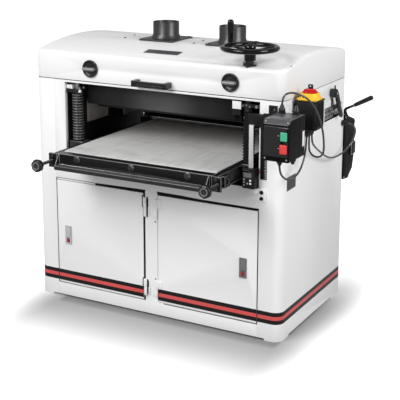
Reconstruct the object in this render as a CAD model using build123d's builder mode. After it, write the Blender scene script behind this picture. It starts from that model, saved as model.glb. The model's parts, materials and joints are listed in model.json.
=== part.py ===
from build123d import *
import math
import os

os.makedirs("parts", exist_ok=True)

# ------------------------------------------------------------------
# Double drum sander: floor machine with a sheet-metal cabinet, a
# tilting hood, a conveyor table on four lift screws and two drums.
# All working coordinates are taken from the cabinet's lower left
# front corner: x to the right, y to the back, z up, millimetres.
# OX and OY move that corner so that the origin is at the bottom
# centre of the whole machine.
# ------------------------------------------------------------------
X_MIN, X_MAX = 0.0, 1150.0          # machine's side extents
Y_MIN, Y_MAX = -284.0, 728.0        # machine's front and rear extents
OX = (X_MIN + X_MAX) / 2
OY = (Y_MIN + Y_MAX) / 2

# cabinet
W, D = 1054.0, 572.0                # cabinet width and depth
Z_TOP = 880.0                       # seam between cabinet and hood
T = 3.0                             # sheet thickness
R_CORNER = 36.0                     # rounded front corners
Z_FOOT = 7.0                        # gap under the skirts between the feet
OPEN_X0, OPEN_X1 = 141.0, 963.0     # work opening
OPEN_Z0, OPEN_Z1 = 563.0, 872.0
DOOR_L0, DOOR_L1 = 91.0, 496.0      # left door opening
DOOR_R0, DOOR_R1 = 549.0, 963.0     # right door opening
DOOR_Z0, DOOR_Z1 = 58.0, 489.0
DOOR_GAP = 1.6
DOOR_TOP_GAP = 9.0                  # wider gaps above the doors
DOOR_POST_GAP = 9.0                 # and beside the left door's hinges

# conveyor table, drawn at its lowest position
XC = 553.0                          # centre of the belt
BELT_W, BELT_T = 635.0, 3.0         # 25 inch belt
BELT_Z = 644.0                      # top of the belt
ROLL_R = 28.2                       # roller radius
BELT_R = 31.5                       # belt's outer radius round a roller
ROLL_Z = BELT_Z - BELT_R
ROLL_YF, ROLL_YR = -131.0, 690.0
LIFT = 127.0                        # table travel

# sanding head
DRUM_R, DRUM_Z = 76.0, 850.0
DRUM_YF, DRUM_YR = 190.0, 382.0
DRUM_X0, DRUM_X1 = 233.0, 873.0
SHAFT_R = 20.0
PRESS_R, PRESS_Z = 20.0, 793.0
PRESS_YF, PRESS_YR = 85.0, 487.0

# lift screws
SCREW_R = 10.0
RUN = 0.05                          # running clearance of shafts
SCREWS = {"fl": (181.0, 28.0), "fr": (909.0, 28.0), "rl": (181.0, 544.0), "rr": (909.0, 544.0)}
WHEEL_Z = 1052.0

# drive
MOTOR_Y, MOTOR_Z = 286.0, 150.0
PULLEY_R = 50.0

# hood
HOOD_GAP = 0.5
HOOD_F, HOOD_M, HOOD_B = 985.0, 1020.0, 992.0   # crown heights at front, middle and back
PORT_R, PORT_T = 50.8, 2.8                      # 4 inch dust spigots
PORTS = ((415.0, 300.0), (705.0, 300.0))
LATCHES = ((262.0, 932.0), (849.0, 931.0))

# controls
BOX = (1045.0, 1139.0, -150.0, -17.0, 711.0, 850.0)
ISO = (1063.0, 1143.0, 66.0, 146.0, 775.0, 878.0)
ISO_X, ISO_Y = 1104.0, 104.0
CORD_R = 3.5


def top(x=0.0, y=0.0, z=0.0):
    "Horizontal plane, x to the right and y to the back."
    return Plane(origin=(x - OX, y - OY, z), x_dir=(1, 0, 0), z_dir=(0, 0, 1))


def front(x=0.0, y=0.0, z=0.0):
    "Upright plane that faces the front, x to the right and y up."
    return Plane(origin=(x - OX, y - OY, z), x_dir=(1, 0, 0), z_dir=(0, -1, 0))


def side(x=0.0, y=0.0, z=0.0):
    "Upright plane that faces the right side, x to the back and y up."
    return Plane(origin=(x - OX, y - OY, z), x_dir=(0, 1, 0), z_dir=(1, 0, 0))


def block(x0, x1, y0, y1, z0, z1, mode=Mode.ADD):
    with Locations(((x0 + x1) / 2 - OX, (y0 + y1) / 2 - OY, (z0 + z1) / 2)):
        return Box(x1 - x0, y1 - y0, z1 - z0, mode=mode)


def rod_x(x0, x1, y, z, r, mode=Mode.ADD):
    with Locations(Location(((x0 + x1) / 2 - OX, y - OY, z), (0, 90, 0))):
        return Cylinder(r, x1 - x0, mode=mode)


def rod_y(x, y0, y1, z, r, mode=Mode.ADD):
    with Locations(Location((x - OX, (y0 + y1) / 2 - OY, z), (90, 0, 0))):
        return Cylinder(r, y1 - y0, mode=mode)


def rod_z(x, y, z0, z1, r, mode=Mode.ADD):
    with Locations((x - OX, y - OY, (z0 + z1) / 2)):
        return Cylinder(r, z1 - z0, mode=mode)


def cone_z(x, y, z0, z1, r0, r1, mode=Mode.ADD):
    with Locations((x - OX, y - OY, (z0 + z1) / 2)):
        return Cone(r0, r1, z1 - z0, mode=mode)


def bar(p, q, r, mode=Mode.ADD):
    "Round bar from point p to point q."
    a = Vector(p[0] - OX, p[1] - OY, p[2])
    b = Vector(q[0] - OX, q[1] - OY, q[2])
    with Locations(Plane(origin=(a + b) * 0.5, z_dir=b - a).location):
        return Cylinder(r, (b - a).length, mode=mode)


def ball(p, r, mode=Mode.ADD):
    with Locations((p[0] - OX, p[1] - OY, p[2])):
        return Sphere(r, mode=mode)


def upright_edges(obj):
    return obj.edges().filter_by(Axis.Z)


def save(builder, name):
    builder.part.label = name
    export_step(builder.part, "parts/" + name + ".step")


# ------------------------------------------------------------------
# cabinet
# ------------------------------------------------------------------
with BuildPart() as left_side_panel:
    with BuildSketch(top()) as outline:
        with Locations((DOOR_L0 / 2, D / 2)):
            Rectangle(DOOR_L0, D)
        fillet(outline.vertices().sort_by_distance((0, 0, 0))[0], R_CORNER)
    extrude(amount=Z_TOP)
    with BuildSketch(top()) as inside:
        with Locations(((DOOR_L0 + T + 10) / 2, D / 2)):
            Rectangle(DOOR_L0 - T + 10, D - 2 * T)
        fillet(inside.vertices().sort_by_distance((0, 0, 0))[0], R_CORNER - T)
    extrude(amount=Z_TOP, mode=Mode.SUBTRACT)
    block(40, 120, D - 10, D + 10, -1, Z_TOP + 1, Mode.SUBTRACT)
    block(-5, 10, 80, D - 80, -1, Z_FOOT, Mode.SUBTRACT)
    block(62, 120, -5, 10, -1, Z_FOOT, Mode.SUBTRACT)
save(left_side_panel, "left_side_panel")

LEVER_Y, LEVER_Z = 430.0, 842.0
with BuildPart() as right_side_panel:
    with BuildSketch(top()) as outline:
        with Locations(((DOOR_R1 + W) / 2, D / 2)):
            Rectangle(W - DOOR_R1, D)
        fillet(outline.vertices().sort_by_distance((W, 0, 0))[0], R_CORNER)
    extrude(amount=Z_TOP)
    with BuildSketch(top()) as inside:
        with Locations(((DOOR_R1 - 10 + W - T) / 2, D / 2)):
            Rectangle(W - T - DOOR_R1 + 10, D - 2 * T)
        fillet(inside.vertices().sort_by_distance((W, 0, 0))[0], R_CORNER - T)
    extrude(amount=Z_TOP, mode=Mode.SUBTRACT)
    block(900, W - 40, D - 10, D + 10, -1, Z_TOP + 1, Mode.SUBTRACT)
    block(W - 10, W + 5, 80, D - 80, -1, Z_FOOT, Mode.SUBTRACT)
    block(900, W - 62, -5, 10, -1, Z_FOOT, Mode.SUBTRACT)
    # slot beside the drum adjuster, and the lever's pivot hole
    block(W - 10, W + 5, 372, 545, 738, 790, Mode.SUBTRACT)
    rod_x(W - 10, W + 5, LEVER_Y, LEVER_Z, 8 + RUN, Mode.SUBTRACT)
save(right_side_panel, "right_side_panel")

with BuildPart() as front_frame:
    block(DOOR_L0, DOOR_R1, 0, T, Z_FOOT, Z_TOP)
    block(DOOR_L0 - 1, DOOR_L1, -5, 10, DOOR_Z0, DOOR_Z1, Mode.SUBTRACT)
    block(DOOR_R0, DOOR_R1 + 1, -5, 10, DOOR_Z0, DOOR_Z1, Mode.SUBTRACT)
    block(OPEN_X0, OPEN_X1 + 1, -5, 10, OPEN_Z0, OPEN_Z1, Mode.SUBTRACT)
    # return flange along the left edge of the work opening
    block(OPEN_X0 - T, OPEN_X0, T, 16, OPEN_Z0, OPEN_Z1)
save(front_frame, "front_frame")

with BuildPart() as rear_panel:
    block(40, W - 40, D - T, D, Z_FOOT, Z_TOP)
    block(OPEN_X0, OPEN_X1, D - 10, D + 5, OPEN_Z0, OPEN_Z1, Mode.SUBTRACT)
    # cooling slots for the motor
    for row in range(7):
        for x in (330, 724):
            block(x - 60, x + 60, D - 10, D + 5, 190 + 26 * row, 197 + 26 * row, Mode.SUBTRACT)
save(rear_panel, "rear_panel")

with BuildPart() as inner_frame:
    # deck under the table
    block(T, W - T, R_CORNER, D - T, OPEN_Z0 - 6, OPEN_Z0)
    block(R_CORNER, W - R_CORNER, T, R_CORNER, OPEN_Z0 - 6, OPEN_Z0)
    block(60, 125, 160, 412, OPEN_Z0 - 20, OPEN_Z0 + 5, Mode.SUBTRACT)
    for x, y in SCREWS.values():
        rod_z(x, y, OPEN_Z0 - 20, OPEN_Z0 + 5, SCREW_R + RUN, Mode.SUBTRACT)
    # tower walls that carry the drums
    for x in (OPEN_X0 - T, OPEN_X1):
        block(x, x + T, 17 if x < 500 else T, D - T, OPEN_Z0, Z_TOP)
        for y in (DRUM_YF, DRUM_YR):
            rod_x(x - 5, x + 8, y, DRUM_Z, 26, Mode.SUBTRACT)
        for y in (PRESS_YF, PRESS_YR):
            rod_x(x - 5, x + 8, y, PRESS_Z, 8 + RUN, Mode.SUBTRACT)
    # floor pan and foot pads
    block(T, W - T, R_CORNER, D - T, 20, 23)
    for x in (14, W - 74):
        for y in (14, D - 74):
            block(x, x + 60, y, y + 60, 0, 20)
save(inner_frame, "inner_frame")

GUARD_X0, GUARD_X1 = 216.0, 848.0
with BuildPart() as dust_guards:
    block(GUARD_X0, GUARD_X1, 43, 46, 789, OPEN_Z1)
    block(GUARD_X0, GUARD_X1, T, 43, OPEN_Z1 - 3, OPEN_Z1)
    block(GUARD_X0, GUARD_X1, D - 46, D - 43, 789, OPEN_Z1)
    block(GUARD_X0, GUARD_X1, D - 43, D - T, OPEN_Z1 - 3, OPEN_Z1)
save(dust_guards, "dust_guards")

with BuildPart() as screw_brackets:
    for key, (x, y) in SCREWS.items():
        if x < 500:
            block(OPEN_X0, x + 33, y - 20, y + 20, 832, 846)
            block(OPEN_X0, x - 14, y - 16, y + 16, 846, 860)
        else:
            block(x - 59, OPEN_X1, y - 20, y + 20, 846, 858)
            block(x - 59, x - 25, y - 16, y + 16, 814, 846)
        rod_z(x, y, 800, 880, SCREW_R + RUN, Mode.SUBTRACT)
save(screw_brackets, "screw_brackets")

# chain that turns the four screws together, under the deck
SPROCKET_R = 16.0
CHAIN_Z = 528.0
with BuildPart() as lift_chain:
    with BuildSketch(top(0, 0, CHAIN_Z - 4)):
        with Locations(*SCREWS.values()):
            Circle(SPROCKET_R + 6.5)
        make_hull()
    extrude(amount=8)
    with BuildSketch(top(0, 0, CHAIN_Z - 5)):
        with Locations(*SCREWS.values()):
            Circle(SPROCKET_R + 0.5)
        make_hull()
    extrude(amount=10, mode=Mode.SUBTRACT)
save(lift_chain, "lift_chain")

with BuildPart() as drum_bearings:
    for y in (DRUM_YF, DRUM_YR):
        for x0, x1 in ((OPEN_X0, OPEN_X0 + 12), (OPEN_X1 - 12, OPEN_X1)):
            block(x0, x1, y - 46, y + 46, DRUM_Z - 46, DRUM_Z + 46)
        rod_x(OPEN_X0 + 12, OPEN_X0 + 28, y, DRUM_Z, 34)
        rod_x(OPEN_X1 - 28, OPEN_X1 - 12, y, DRUM_Z, 34)
        rod_x(OPEN_X0 - 5, OPEN_X1 + 5, y, DRUM_Z, SHAFT_R + RUN, Mode.SUBTRACT)
save(drum_bearings, "drum_bearings")

with BuildPart() as main_motor:
    rod_x(200, 450, MOTOR_Y, MOTOR_Z, 92)
    rod_x(450, 500, MOTOR_Y, MOTOR_Z, 82)
    rod_x(186, 200, MOTOR_Y, MOTOR_Z, 60)
    block(250, 420, MOTOR_Y - 80, MOTOR_Y + 80, 23, 70)
    block(285, 385, MOTOR_Y - 50, MOTOR_Y + 50, MOTOR_Z + 80, MOTOR_Z + 120)
    rod_x(180, 260, MOTOR_Y, MOTOR_Z, 14 + RUN, Mode.SUBTRACT)
save(main_motor, "main_motor")

with BuildPart() as drive_belt:
    with BuildSketch(side(78, 0, 0)):
        with Locations((DRUM_YF, DRUM_Z), (DRUM_YR, DRUM_Z), (MOTOR_Y, MOTOR_Z)):
            Circle(PULLEY_R + 8)
        make_hull()
    extrude(amount=24)
    with BuildSketch(side(77, 0, 0)):
        with Locations((DRUM_YF, DRUM_Z), (DRUM_YR, DRUM_Z), (MOTOR_Y, MOTOR_Z)):
            Circle(PULLEY_R + 0.5)
        make_hull()
    extrude(amount=26, mode=Mode.SUBTRACT)
save(drive_belt, "drive_belt")

# ------------------------------------------------------------------
# hinges: fixed knuckles with their pins
# ------------------------------------------------------------------
HINGE_L, HINGE_R, HINGE_Y, HINGE_RAD = 499.0, 546.0, -6.0, 5.6
HINGE_Z = ((81.0, 143.0), (393.0, 466.0))
HOOD_PIN_Y, HOOD_PIN_Z = D + 8.0, Z_TOP
HOOD_HINGES = ((150.0, 240.0), (814.0, 904.0))

with BuildPart() as hinge_pins:
    for x, leaf in ((HINGE_L, 18), (HINGE_R, -18)):
        for z0, z1 in HINGE_Z:
            zm = (z0 + z1) / 2
            rod_z(x, HINGE_Y, z0, zm, HINGE_RAD)
            rod_z(x, HINGE_Y, zm, z1 - 3, 3)
            block(min(x, x + leaf), max(x, x + leaf), -2.5, 0, z0, zm)
            block(x - 3, x + 3, HINGE_Y, -1, z0, zm)
    for x0, x1 in HOOD_HINGES:
        xm = (x0 + x1) / 2
        rod_x(x0, xm, HOOD_PIN_Y, HOOD_PIN_Z, 7)
        rod_x(xm, x1 - 3, HOOD_PIN_Y, HOOD_PIN_Z, 3.5)
        block(x0, xm, D, D + 4, HOOD_PIN_Z - 40, HOOD_PIN_Z)
save(hinge_pins, "hinge_pins")

# ------------------------------------------------------------------
# doors with their lift-off hinge knuckles
# ------------------------------------------------------------------
BUTTON_Z = 238.0
BUTTON_L, BUTTON_R = 142.5, 906.0


def door_shell(x0, x1, z0, z1):
    block(x0, x1, 0, 2.5, z0, z1)
    block(x0 + 2, x0 + 5, 2.5, 18, z0 + 2, z1 - 2)
    block(x1 - 5, x1 - 2, 2.5, 18, z0 + 2, z1 - 2)
    block(x0 + 2, x1 - 2, 2.5, 18, z0 + 2, z0 + 5)
    block(x0 + 2, x1 - 2, 2.5, 18, z1 - 5, z1 - 2)


def door_knuckles(x, leaf):
    for z0, z1 in HINGE_Z:
        zm = (z0 + z1) / 2 + 0.5
        rod_z(x, HINGE_Y, zm, z1, HINGE_RAD)
        # leaf on the door, and the bend that joins it to the knuckle clear of the post
        inner = x + math.copysign(DOOR_GAP + 3, leaf)
        block(min(inner, x + leaf), max(inner, x + leaf), -2.5, 0, zm, z1)
        bend = x + math.copysign(10, leaf)
        block(min(x, bend), max(x, bend), -4.5, -0.5, zm, z1)
        rod_z(x, HINGE_Y, zm - 5, z1 + 5, 3 + RUN, Mode.SUBTRACT)


def latch_case(x):
    "Flush latch body with a pocket for its push button."
    block(x - 14.5, x + 14.5, -3, 0, 223, 298)
    block(x - 12, x + 12, 2.5, 16, 226, 295)
    block(x - 6.5, x + 6.5, -5, 11, BUTTON_Z - 8, BUTTON_Z + 8, Mode.SUBTRACT)


with BuildPart() as left_door:
    door_shell(DOOR_L0 + DOOR_GAP, DOOR_L1 - DOOR_POST_GAP, DOOR_Z0 + DOOR_GAP, DOOR_Z1 - DOOR_TOP_GAP)
    door_knuckles(HINGE_L, -22)
    latch_case(BUTTON_L)
save(left_door, "left_door")

with BuildPart() as right_door:
    door_shell(DOOR_R0 + DOOR_GAP, DOOR_R1 - DOOR_GAP, DOOR_Z0 + DOOR_GAP, DOOR_Z1 - DOOR_TOP_GAP)
    door_knuckles(HINGE_R, 22)
    latch_case(BUTTON_R)
save(right_door, "right_door")

with BuildPart() as left_latch_button:
    block(BUTTON_L - 6, BUTTON_L + 6, -6, 6, BUTTON_Z - 7.5, BUTTON_Z + 7.5)
    fillet(left_latch_button.faces().sort_by(Axis.Y)[0].edges(), 1.5)
save(left_latch_button, "left_latch_button")

with BuildPart() as right_latch_button:
    block(BUTTON_R - 6, BUTTON_R + 6, -6, 6, BUTTON_Z - 7.5, BUTTON_Z + 7.5)
    fillet(right_latch_button.faces().sort_by(Axis.Y)[0].edges(), 1.5)
save(right_latch_button, "right_latch_button")

# ------------------------------------------------------------------
# hood
# ------------------------------------------------------------------
with BuildPart() as hood_outer:
    with BuildSketch(side(0, 0, 0)):
        with BuildLine():
            Line((0, Z_TOP + HOOD_GAP), (0, HOOD_F))
            ThreePointArc((0, HOOD_F), (D / 2, HOOD_M), (D, HOOD_B))
            Polyline((D, HOOD_B), (D, Z_TOP + HOOD_GAP), (0, Z_TOP + HOOD_GAP))
        make_face()
    extrude(amount=W)
    fillet(upright_edges(hood_outer).group_by(Axis.Y)[0], R_CORNER)
    fillet(hood_outer.faces().sort_by(Axis.Z)[-1].edges(), 14)

with BuildPart() as hood_inner:
    with BuildSketch(side(T, 0, 0)):
        with BuildLine():
            Line((T, Z_TOP - 5), (T, HOOD_F - T))
            ThreePointArc((T, HOOD_F - T), (D / 2, HOOD_M - T), (D - T, HOOD_B - T))
            Polyline((D - T, HOOD_B - T), (D - T, Z_TOP - 5), (T, Z_TOP - 5))
        make_face()
    extrude(amount=W - 2 * T)
    fillet(upright_edges(hood_inner).group_by(Axis.Y)[0], R_CORNER - T)
    fillet(hood_inner.faces().sort_by(Axis.Z)[-1].edges(), 11)

WX, WY = SCREWS["fr"]
with BuildPart() as hood_shell:
    add(hood_outer.part)
    add(hood_inner.part, mode=Mode.SUBTRACT)
    for x, y in PORTS:
        rod_z(x, y, 950, 1050, PORT_R - PORT_T, Mode.SUBTRACT)
    rod_z(WX, WY, 940, 1050, 14, Mode.SUBTRACT)
    for x, z in LATCHES:
        rod_y(x, -5, 10, z, 6 + RUN, Mode.SUBTRACT)
    for x0, x1 in HOOD_HINGES:
        xm = (x0 + x1) / 2 + 0.5
        rod_x(xm, x1, HOOD_PIN_Y, HOOD_PIN_Z, 7)
        block(xm, x1, D, D + 4, HOOD_PIN_Z + HOOD_GAP, HOOD_PIN_Z + 40)
        rod_x(xm - 5, x1 + 5, HOOD_PIN_Y, HOOD_PIN_Z, 3.5 + RUN, Mode.SUBTRACT)
save(hood_shell, "hood_shell")

with BuildPart() as dust_ports:
    for x, y in PORTS:
        block(x - 77, x + 77, y - 82, y + 82, 1000, HOOD_M + 4)
    fillet(upright_edges(dust_ports), 10)
    for x, y in PORTS:
        rod_z(x, y, HOOD_M, HOOD_M + 68, PORT_R)
        # flared foot of the spigot, below the length that a hose covers
        cone_z(x, y, HOOD_M + 4, HOOD_M + 20, PORT_R + 8, PORT_R)
    add(hood_outer.part, mode=Mode.SUBTRACT)
    for x, y in PORTS:
        rod_z(x, y, 990, HOOD_M + 80, PORT_R - PORT_T, Mode.SUBTRACT)
save(dust_ports, "dust_ports")

HANDLE_Z = 900.0
with BuildPart() as hood_handle:
    block(464, 612, -40, -28, HANDLE_Z - 9, HANDLE_Z + 9)
    fillet(hood_handle.edges().filter_by(Axis.X), 4.5)
    for x in (464, 600):
        block(x, x + 12, -30, 0, HANDLE_Z - 8, HANDLE_Z + 8)
save(hood_handle, "hood_handle")

FLANGE_Z = 998.0
with BuildPart() as handwheel_flange:
    # rhombic two-bolt plate on the crown, with a neck round the shaft
    with BuildSketch(top(WX, WY, 960)) as plate:
        Polygon((-30, 0), (0, -24), (30, 0), (0, 24), align=None)
        fillet(plate.vertices(), 6)
    extrude(amount=FLANGE_Z - 960)
    rod_z(WX, WY, FLANGE_Z - 1, 1005, 13)
    for dx in (-19.5, 19.5):
        rod_z(WX + dx, WY, FLANGE_Z - 1, FLANGE_Z + 4, 5)
    add(hood_outer.part, mode=Mode.SUBTRACT)
    rod_z(WX, WY, 950, 1040, SCREW_R + RUN, Mode.SUBTRACT)
save(handwheel_flange, "handwheel_flange")


def latch_knob(x, z):
    rod_y(x, -8, -0.6, z, 33)
    block(x - 27, x + 27, -20, -7, z - 6.5, z + 6.5)
    rod_y(x, -1, 11, z, 6)
    block(x - 6, x + 6, 7, 10, z - 58, z + 8)


with BuildPart() as left_hood_latch:
    latch_knob(*LATCHES[0])
    fillet(left_hood_latch.faces().sort_by(Axis.Y)[0].edges(), 3)
save(left_hood_latch, "left_hood_latch")

with BuildPart() as right_hood_latch:
    latch_knob(*LATCHES[1])
    fillet(right_hood_latch.faces().sort_by(Axis.Y)[0].edges(), 3)
save(right_hood_latch, "right_hood_latch")

# ------------------------------------------------------------------
# handwheel on its shaft, with a turning grip
# ------------------------------------------------------------------
WHEEL_R, RIM_R = 94.0, 10.0
GRIP_DX, GRIP_DY = -87.0, 23.0
SPOKES = (165.2, 285.2, 45.2)
with BuildPart() as handwheel:
    rod_z(WX, WY, 1007, WHEEL_Z + 12, 20.5)
    for ang in SPOKES:
        c, s = math.cos(math.radians(ang)), math.sin(math.radians(ang))
        bar((WX + 8 * c, WY + 8 * s, WHEEL_Z - 10), (WX + (WHEEL_R - 3) * c, WY + (WHEEL_R - 3) * s, WHEEL_Z - 1), 6)
    with BuildSketch(front(WX, WY, WHEEL_Z)):
        with Locations((WHEEL_R, 0)):
            RectangleRounded(2 * RIM_R, 1.8 * RIM_R, 0.8 * RIM_R)
    revolve(axis=Axis((WX - OX, WY - OY, 0), (0, 0, 1)))
    rod_z(WX + GRIP_DX, WY + GRIP_DY, WHEEL_Z - 6, WHEEL_Z + 12, 9)
    rod_z(WX + GRIP_DX, WY + GRIP_DY, WHEEL_Z + 5, WHEEL_Z + 88, 4)
    # shaft with a slotted lower end that drives the front right screw
    rod_z(WX, WY, 872, 1030, SCREW_R)
    block(WX - 3.5, WX + 3.5, WY - 20, WY + 20, 860, 885, Mode.SUBTRACT)
save(handwheel, "handwheel")

with BuildPart() as handwheel_grip:
    rod_z(WX + GRIP_DX, WY + GRIP_DY, WHEEL_Z + 12.5, WHEEL_Z + 92, 11.5)
    fillet(handwheel_grip.edges(), 4)
    rod_z(WX + GRIP_DX, WY + GRIP_DY, WHEEL_Z, WHEEL_Z + 88.5, 4 + RUN, Mode.SUBTRACT)
save(handwheel_grip, "handwheel_grip")

# ------------------------------------------------------------------
# lift screws with their sprockets
# ------------------------------------------------------------------


def lift_screw(x, y, drive):
    rod_z(x, y, 512, 868, SCREW_R)
    rod_z(x, y, CHAIN_Z - 3.5, CHAIN_Z + 3.5, SPROCKET_R)
    rod_z(x, y, CHAIN_Z - 12, CHAIN_Z + 14, 13)
    rod_z(x, y, OPEN_Z0 + 0.5, OPEN_Z0 + 14, 17)
    if drive:
        # lock nuts under the top bearing, and the tongue that the handwheel turns
        rod_z(x, y, 829, 845.5, 19)
        rod_z(x, y, 858.5, 868, 16)
        block(x - 3, x + 3, y - 8, y + 8, 866, 884)


with BuildPart() as screw_front_left:
    lift_screw(*SCREWS["fl"], False)
save(screw_front_left, "screw_front_left")
with BuildPart() as screw_front_right:
    lift_screw(*SCREWS["fr"], True)
save(screw_front_right, "screw_front_right")
with BuildPart() as screw_rear_left:
    lift_screw(*SCREWS["rl"], False)
save(screw_rear_left, "screw_rear_left")
with BuildPart() as screw_rear_right:
    lift_screw(*SCREWS["rr"], False)
save(screw_rear_right, "screw_rear_right")

# pleated sleeves round the screws, between the table and the top bearings
BELLOW_Z0, BELLOW_Z1, PLEATS = 645.0, 828.0, 17
with BuildPart() as screw_bellows:
    for x, y in SCREWS.values():
        with BuildSketch(side(x, y, 0)):
            with BuildLine():
                step = (BELLOW_Z1 - BELLOW_Z0) / PLEATS
                zig = [(12.0, BELLOW_Z0), (19.0, BELLOW_Z0)]
                for i in range(PLEATS):
                    zig.append((22.0, BELLOW_Z0 + step * (i + 0.5)))
                    zig.append((17.0 if i < PLEATS - 1 else 19.0, BELLOW_Z0 + step * (i + 1)))
                zig.append((12.0, BELLOW_Z1))
                Polyline(*zig, close=True)
            make_face()
        revolve(axis=Axis((x - OX, y - OY, 0), (0, 0, 1)))
save(screw_bellows, "screw_bellows")

# ------------------------------------------------------------------
# drums
# ------------------------------------------------------------------


def sanding_drum(y):
    "Hollow drum on webbed ends, with its shaft and belt pulley."
    rod_x(DRUM_X0, DRUM_X1, y, DRUM_Z, DRUM_R)
    rod_x(DRUM_X0 + 14, DRUM_X1 - 14, y, DRUM_Z, DRUM_R - 12, Mode.SUBTRACT)
    # one small balancing hole right through both end webs
    rod_x(DRUM_X0 - 5, DRUM_X1 + 5, y + 43, DRUM_Z, 6, Mode.SUBTRACT)
    rod_x(60, 955, y, DRUM_Z, SHAFT_R)
    rod_x(76, 104, y, DRUM_Z, PULLEY_R)
    rod_x(64, 116, y, DRUM_Z, 28)


with BuildPart() as front_drum:
    sanding_drum(DRUM_YF)
save(front_drum, "front_drum")
with BuildPart() as rear_drum:
    sanding_drum(DRUM_YR)
save(rear_drum, "rear_drum")

with BuildPart() as motor_pulley:
    rod_x(76, 104, MOTOR_Y, MOTOR_Z, PULLEY_R)
    rod_x(66, 114, MOTOR_Y, MOTOR_Z, 26)
    rod_x(66, 259, MOTOR_Y, MOTOR_Z, 14)
save(motor_pulley, "motor_pulley")


def pressure_roller(y):
    rod_x(OPEN_X0 - T + 0.5, OPEN_X1 + T - 0.5, y, PRESS_Z, 8)
    rod_x(244, 862, y, PRESS_Z, PRESS_R)


with BuildPart() as front_pressure_roller:
    pressure_roller(PRESS_YF)
save(front_pressure_roller, "front_pressure_roller")
with BuildPart() as rear_pressure_roller:
    pressure_roller(PRESS_YR)
save(rear_pressure_roller, "rear_pressure_roller")

# ------------------------------------------------------------------
# conveyor table
# ------------------------------------------------------------------
RAIL_IN, RAIL_OUT, PLATE_OUT = 322.0, 340.0, 357.0
RAIL_Z0, RAIL_Z1 = 588.0, 641.0
RAIL_Y0, RAIL_Y1 = -178.0, 724.0
KNOB_DX, KNOB_Z = 343.5, ROLL_Z
BAR_Y = -186.0
BAR_NOSE = -150.0        # rear edge of the bar's upper leg, over the belt's front turn

with BuildPart() as table_bed:
    block(XC - RAIL_IN, XC + RAIL_IN, -92, 651, 632, BELT_Z - BELT_T - 0.4)
    for y in (60, 280, 500):
        block(XC - RAIL_IN, XC + RAIL_IN, y - 12, y + 12, 594, 632)
save(table_bed, "table_bed")

with BuildPart() as table_rails:
    for s in (-1, 1):
        def across(a, b):
            return (XC + min(s * a, s * b), XC + max(s * a, s * b))
        # outward facing channel
        block(*across(RAIL_IN, RAIL_IN + 5), RAIL_Y0, RAIL_Y1, RAIL_Z0, RAIL_Z1)
        block(*across(RAIL_IN, RAIL_OUT), RAIL_Y0, RAIL_Y1, RAIL_Z0, RAIL_Z0 + 5)
        block(*across(RAIL_IN, RAIL_OUT), RAIL_Y0, RAIL_Y1, RAIL_Z1 - 5, RAIL_Z1)
        # front end plate with two bolts
        block(*across(RAIL_IN, PLATE_OUT), BAR_Y, RAIL_Y0, RAIL_Z0, RAIL_Z1)
        # take-up block behind it
        block(*across(RAIL_IN + 6, PLATE_OUT - 2), -152, -112, RAIL_Z0 + 6, RAIL_Z1 - 6)
        block(*across(RAIL_IN + 3, RAIL_IN + 8), -150, -114, RAIL_Z0 + 10, RAIL_Z1 - 10)
        for z in (597, 632):
            rod_y(XC + s * 338.5, BAR_Y - 4, BAR_Y, z, 5.5)
        for y in (ROLL_YF, ROLL_YR):
            rod_x(*across(RAIL_IN - 20, PLATE_OUT + 20), y, ROLL_Z, SCREW_R + RUN, Mode.SUBTRACT)
        rod_y(XC + s * KNOB_DX, BAR_Y - 10, -151, KNOB_Z, 6 + RUN, Mode.SUBTRACT)
save(table_rails, "table_rails")

with BuildPart() as front_bar:
    block(XC - RAIL_IN, XC + RAIL_IN, BAR_Y, BAR_Y + 5, 598, 643)
    block(XC - RAIL_IN, XC + RAIL_IN, BAR_Y, BAR_NOSE, 640, 643)
    block(240, 866, -216, BAR_Y + 1, 598, 603)
    block(240, 866, -216, -212, 588, 603)
    for x in (240, 862):
        with BuildSketch(side(x, 0, 0)):
            with BuildLine():
                Polyline((BAR_Y + 1, 600), (BAR_Y + 1, 642), (BAR_Y - 4, 642), (-216, 600), close=True)
            make_face()
        extrude(amount=4)
    for x in (321, 553, 780):
        with BuildSketch(front(x, BAR_Y, 629)):
            RegularPolygon(9, 6)
        extrude(amount=6)
        rod_y(x, BAR_Y - 1.6, BAR_Y, 629, 11)
save(front_bar, "front_bar")

with BuildPart() as conveyor_belt:
    with BuildSketch(side(XC - BELT_W / 2, 0, 0)):
        with Locations(((ROLL_YF + ROLL_YR) / 2, ROLL_Z)):
            SlotCenterToCenter(ROLL_YR - ROLL_YF, 2 * BELT_R)
            SlotCenterToCenter(ROLL_YR - ROLL_YF, 2 * (BELT_R - BELT_T), mode=Mode.SUBTRACT)
    extrude(amount=BELT_W)
save(conveyor_belt, "conveyor_belt")

with BuildPart() as lift_nuts:
    for x, y in SCREWS.values():
        if x < 500:
            block(x - 24, XC - RAIL_IN - 5, y - 25, y + 25, 618, 634)
            block(x - 24, XC - RAIL_OUT, y - 25, y + 25, 634, 643)
        else:
            block(XC + RAIL_IN + 5, x + 24, y - 25, y + 25, 618, 634)
            block(XC + RAIL_OUT, x + 24, y - 25, y + 25, 634, 643)
        rod_z(x, y, 590, 620, 16)
        rod_z(x, y, 560, 680, SCREW_R + RUN, Mode.SUBTRACT)
    # cut clear of the rails
    for s in (-1, 1):
        x0, x1 = XC + min(s * RAIL_IN, s * RAIL_OUT), XC + max(s * RAIL_IN, s * RAIL_OUT)
        block(x0, x1, -200, 800, RAIL_Z1 - 5, RAIL_Z1, Mode.SUBTRACT)
        block(x0, x1, -200, 800, RAIL_Z0, RAIL_Z0 + 5, Mode.SUBTRACT)
save(lift_nuts, "lift_nuts")


def table_roller(y, x1):
    rod_x(XC - BELT_W / 2 + 5, XC + BELT_W / 2 - 5, y, ROLL_Z, ROLL_R)
    rod_x(XC - PLATE_OUT + 8, x1, y, ROLL_Z, SCREW_R)


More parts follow.
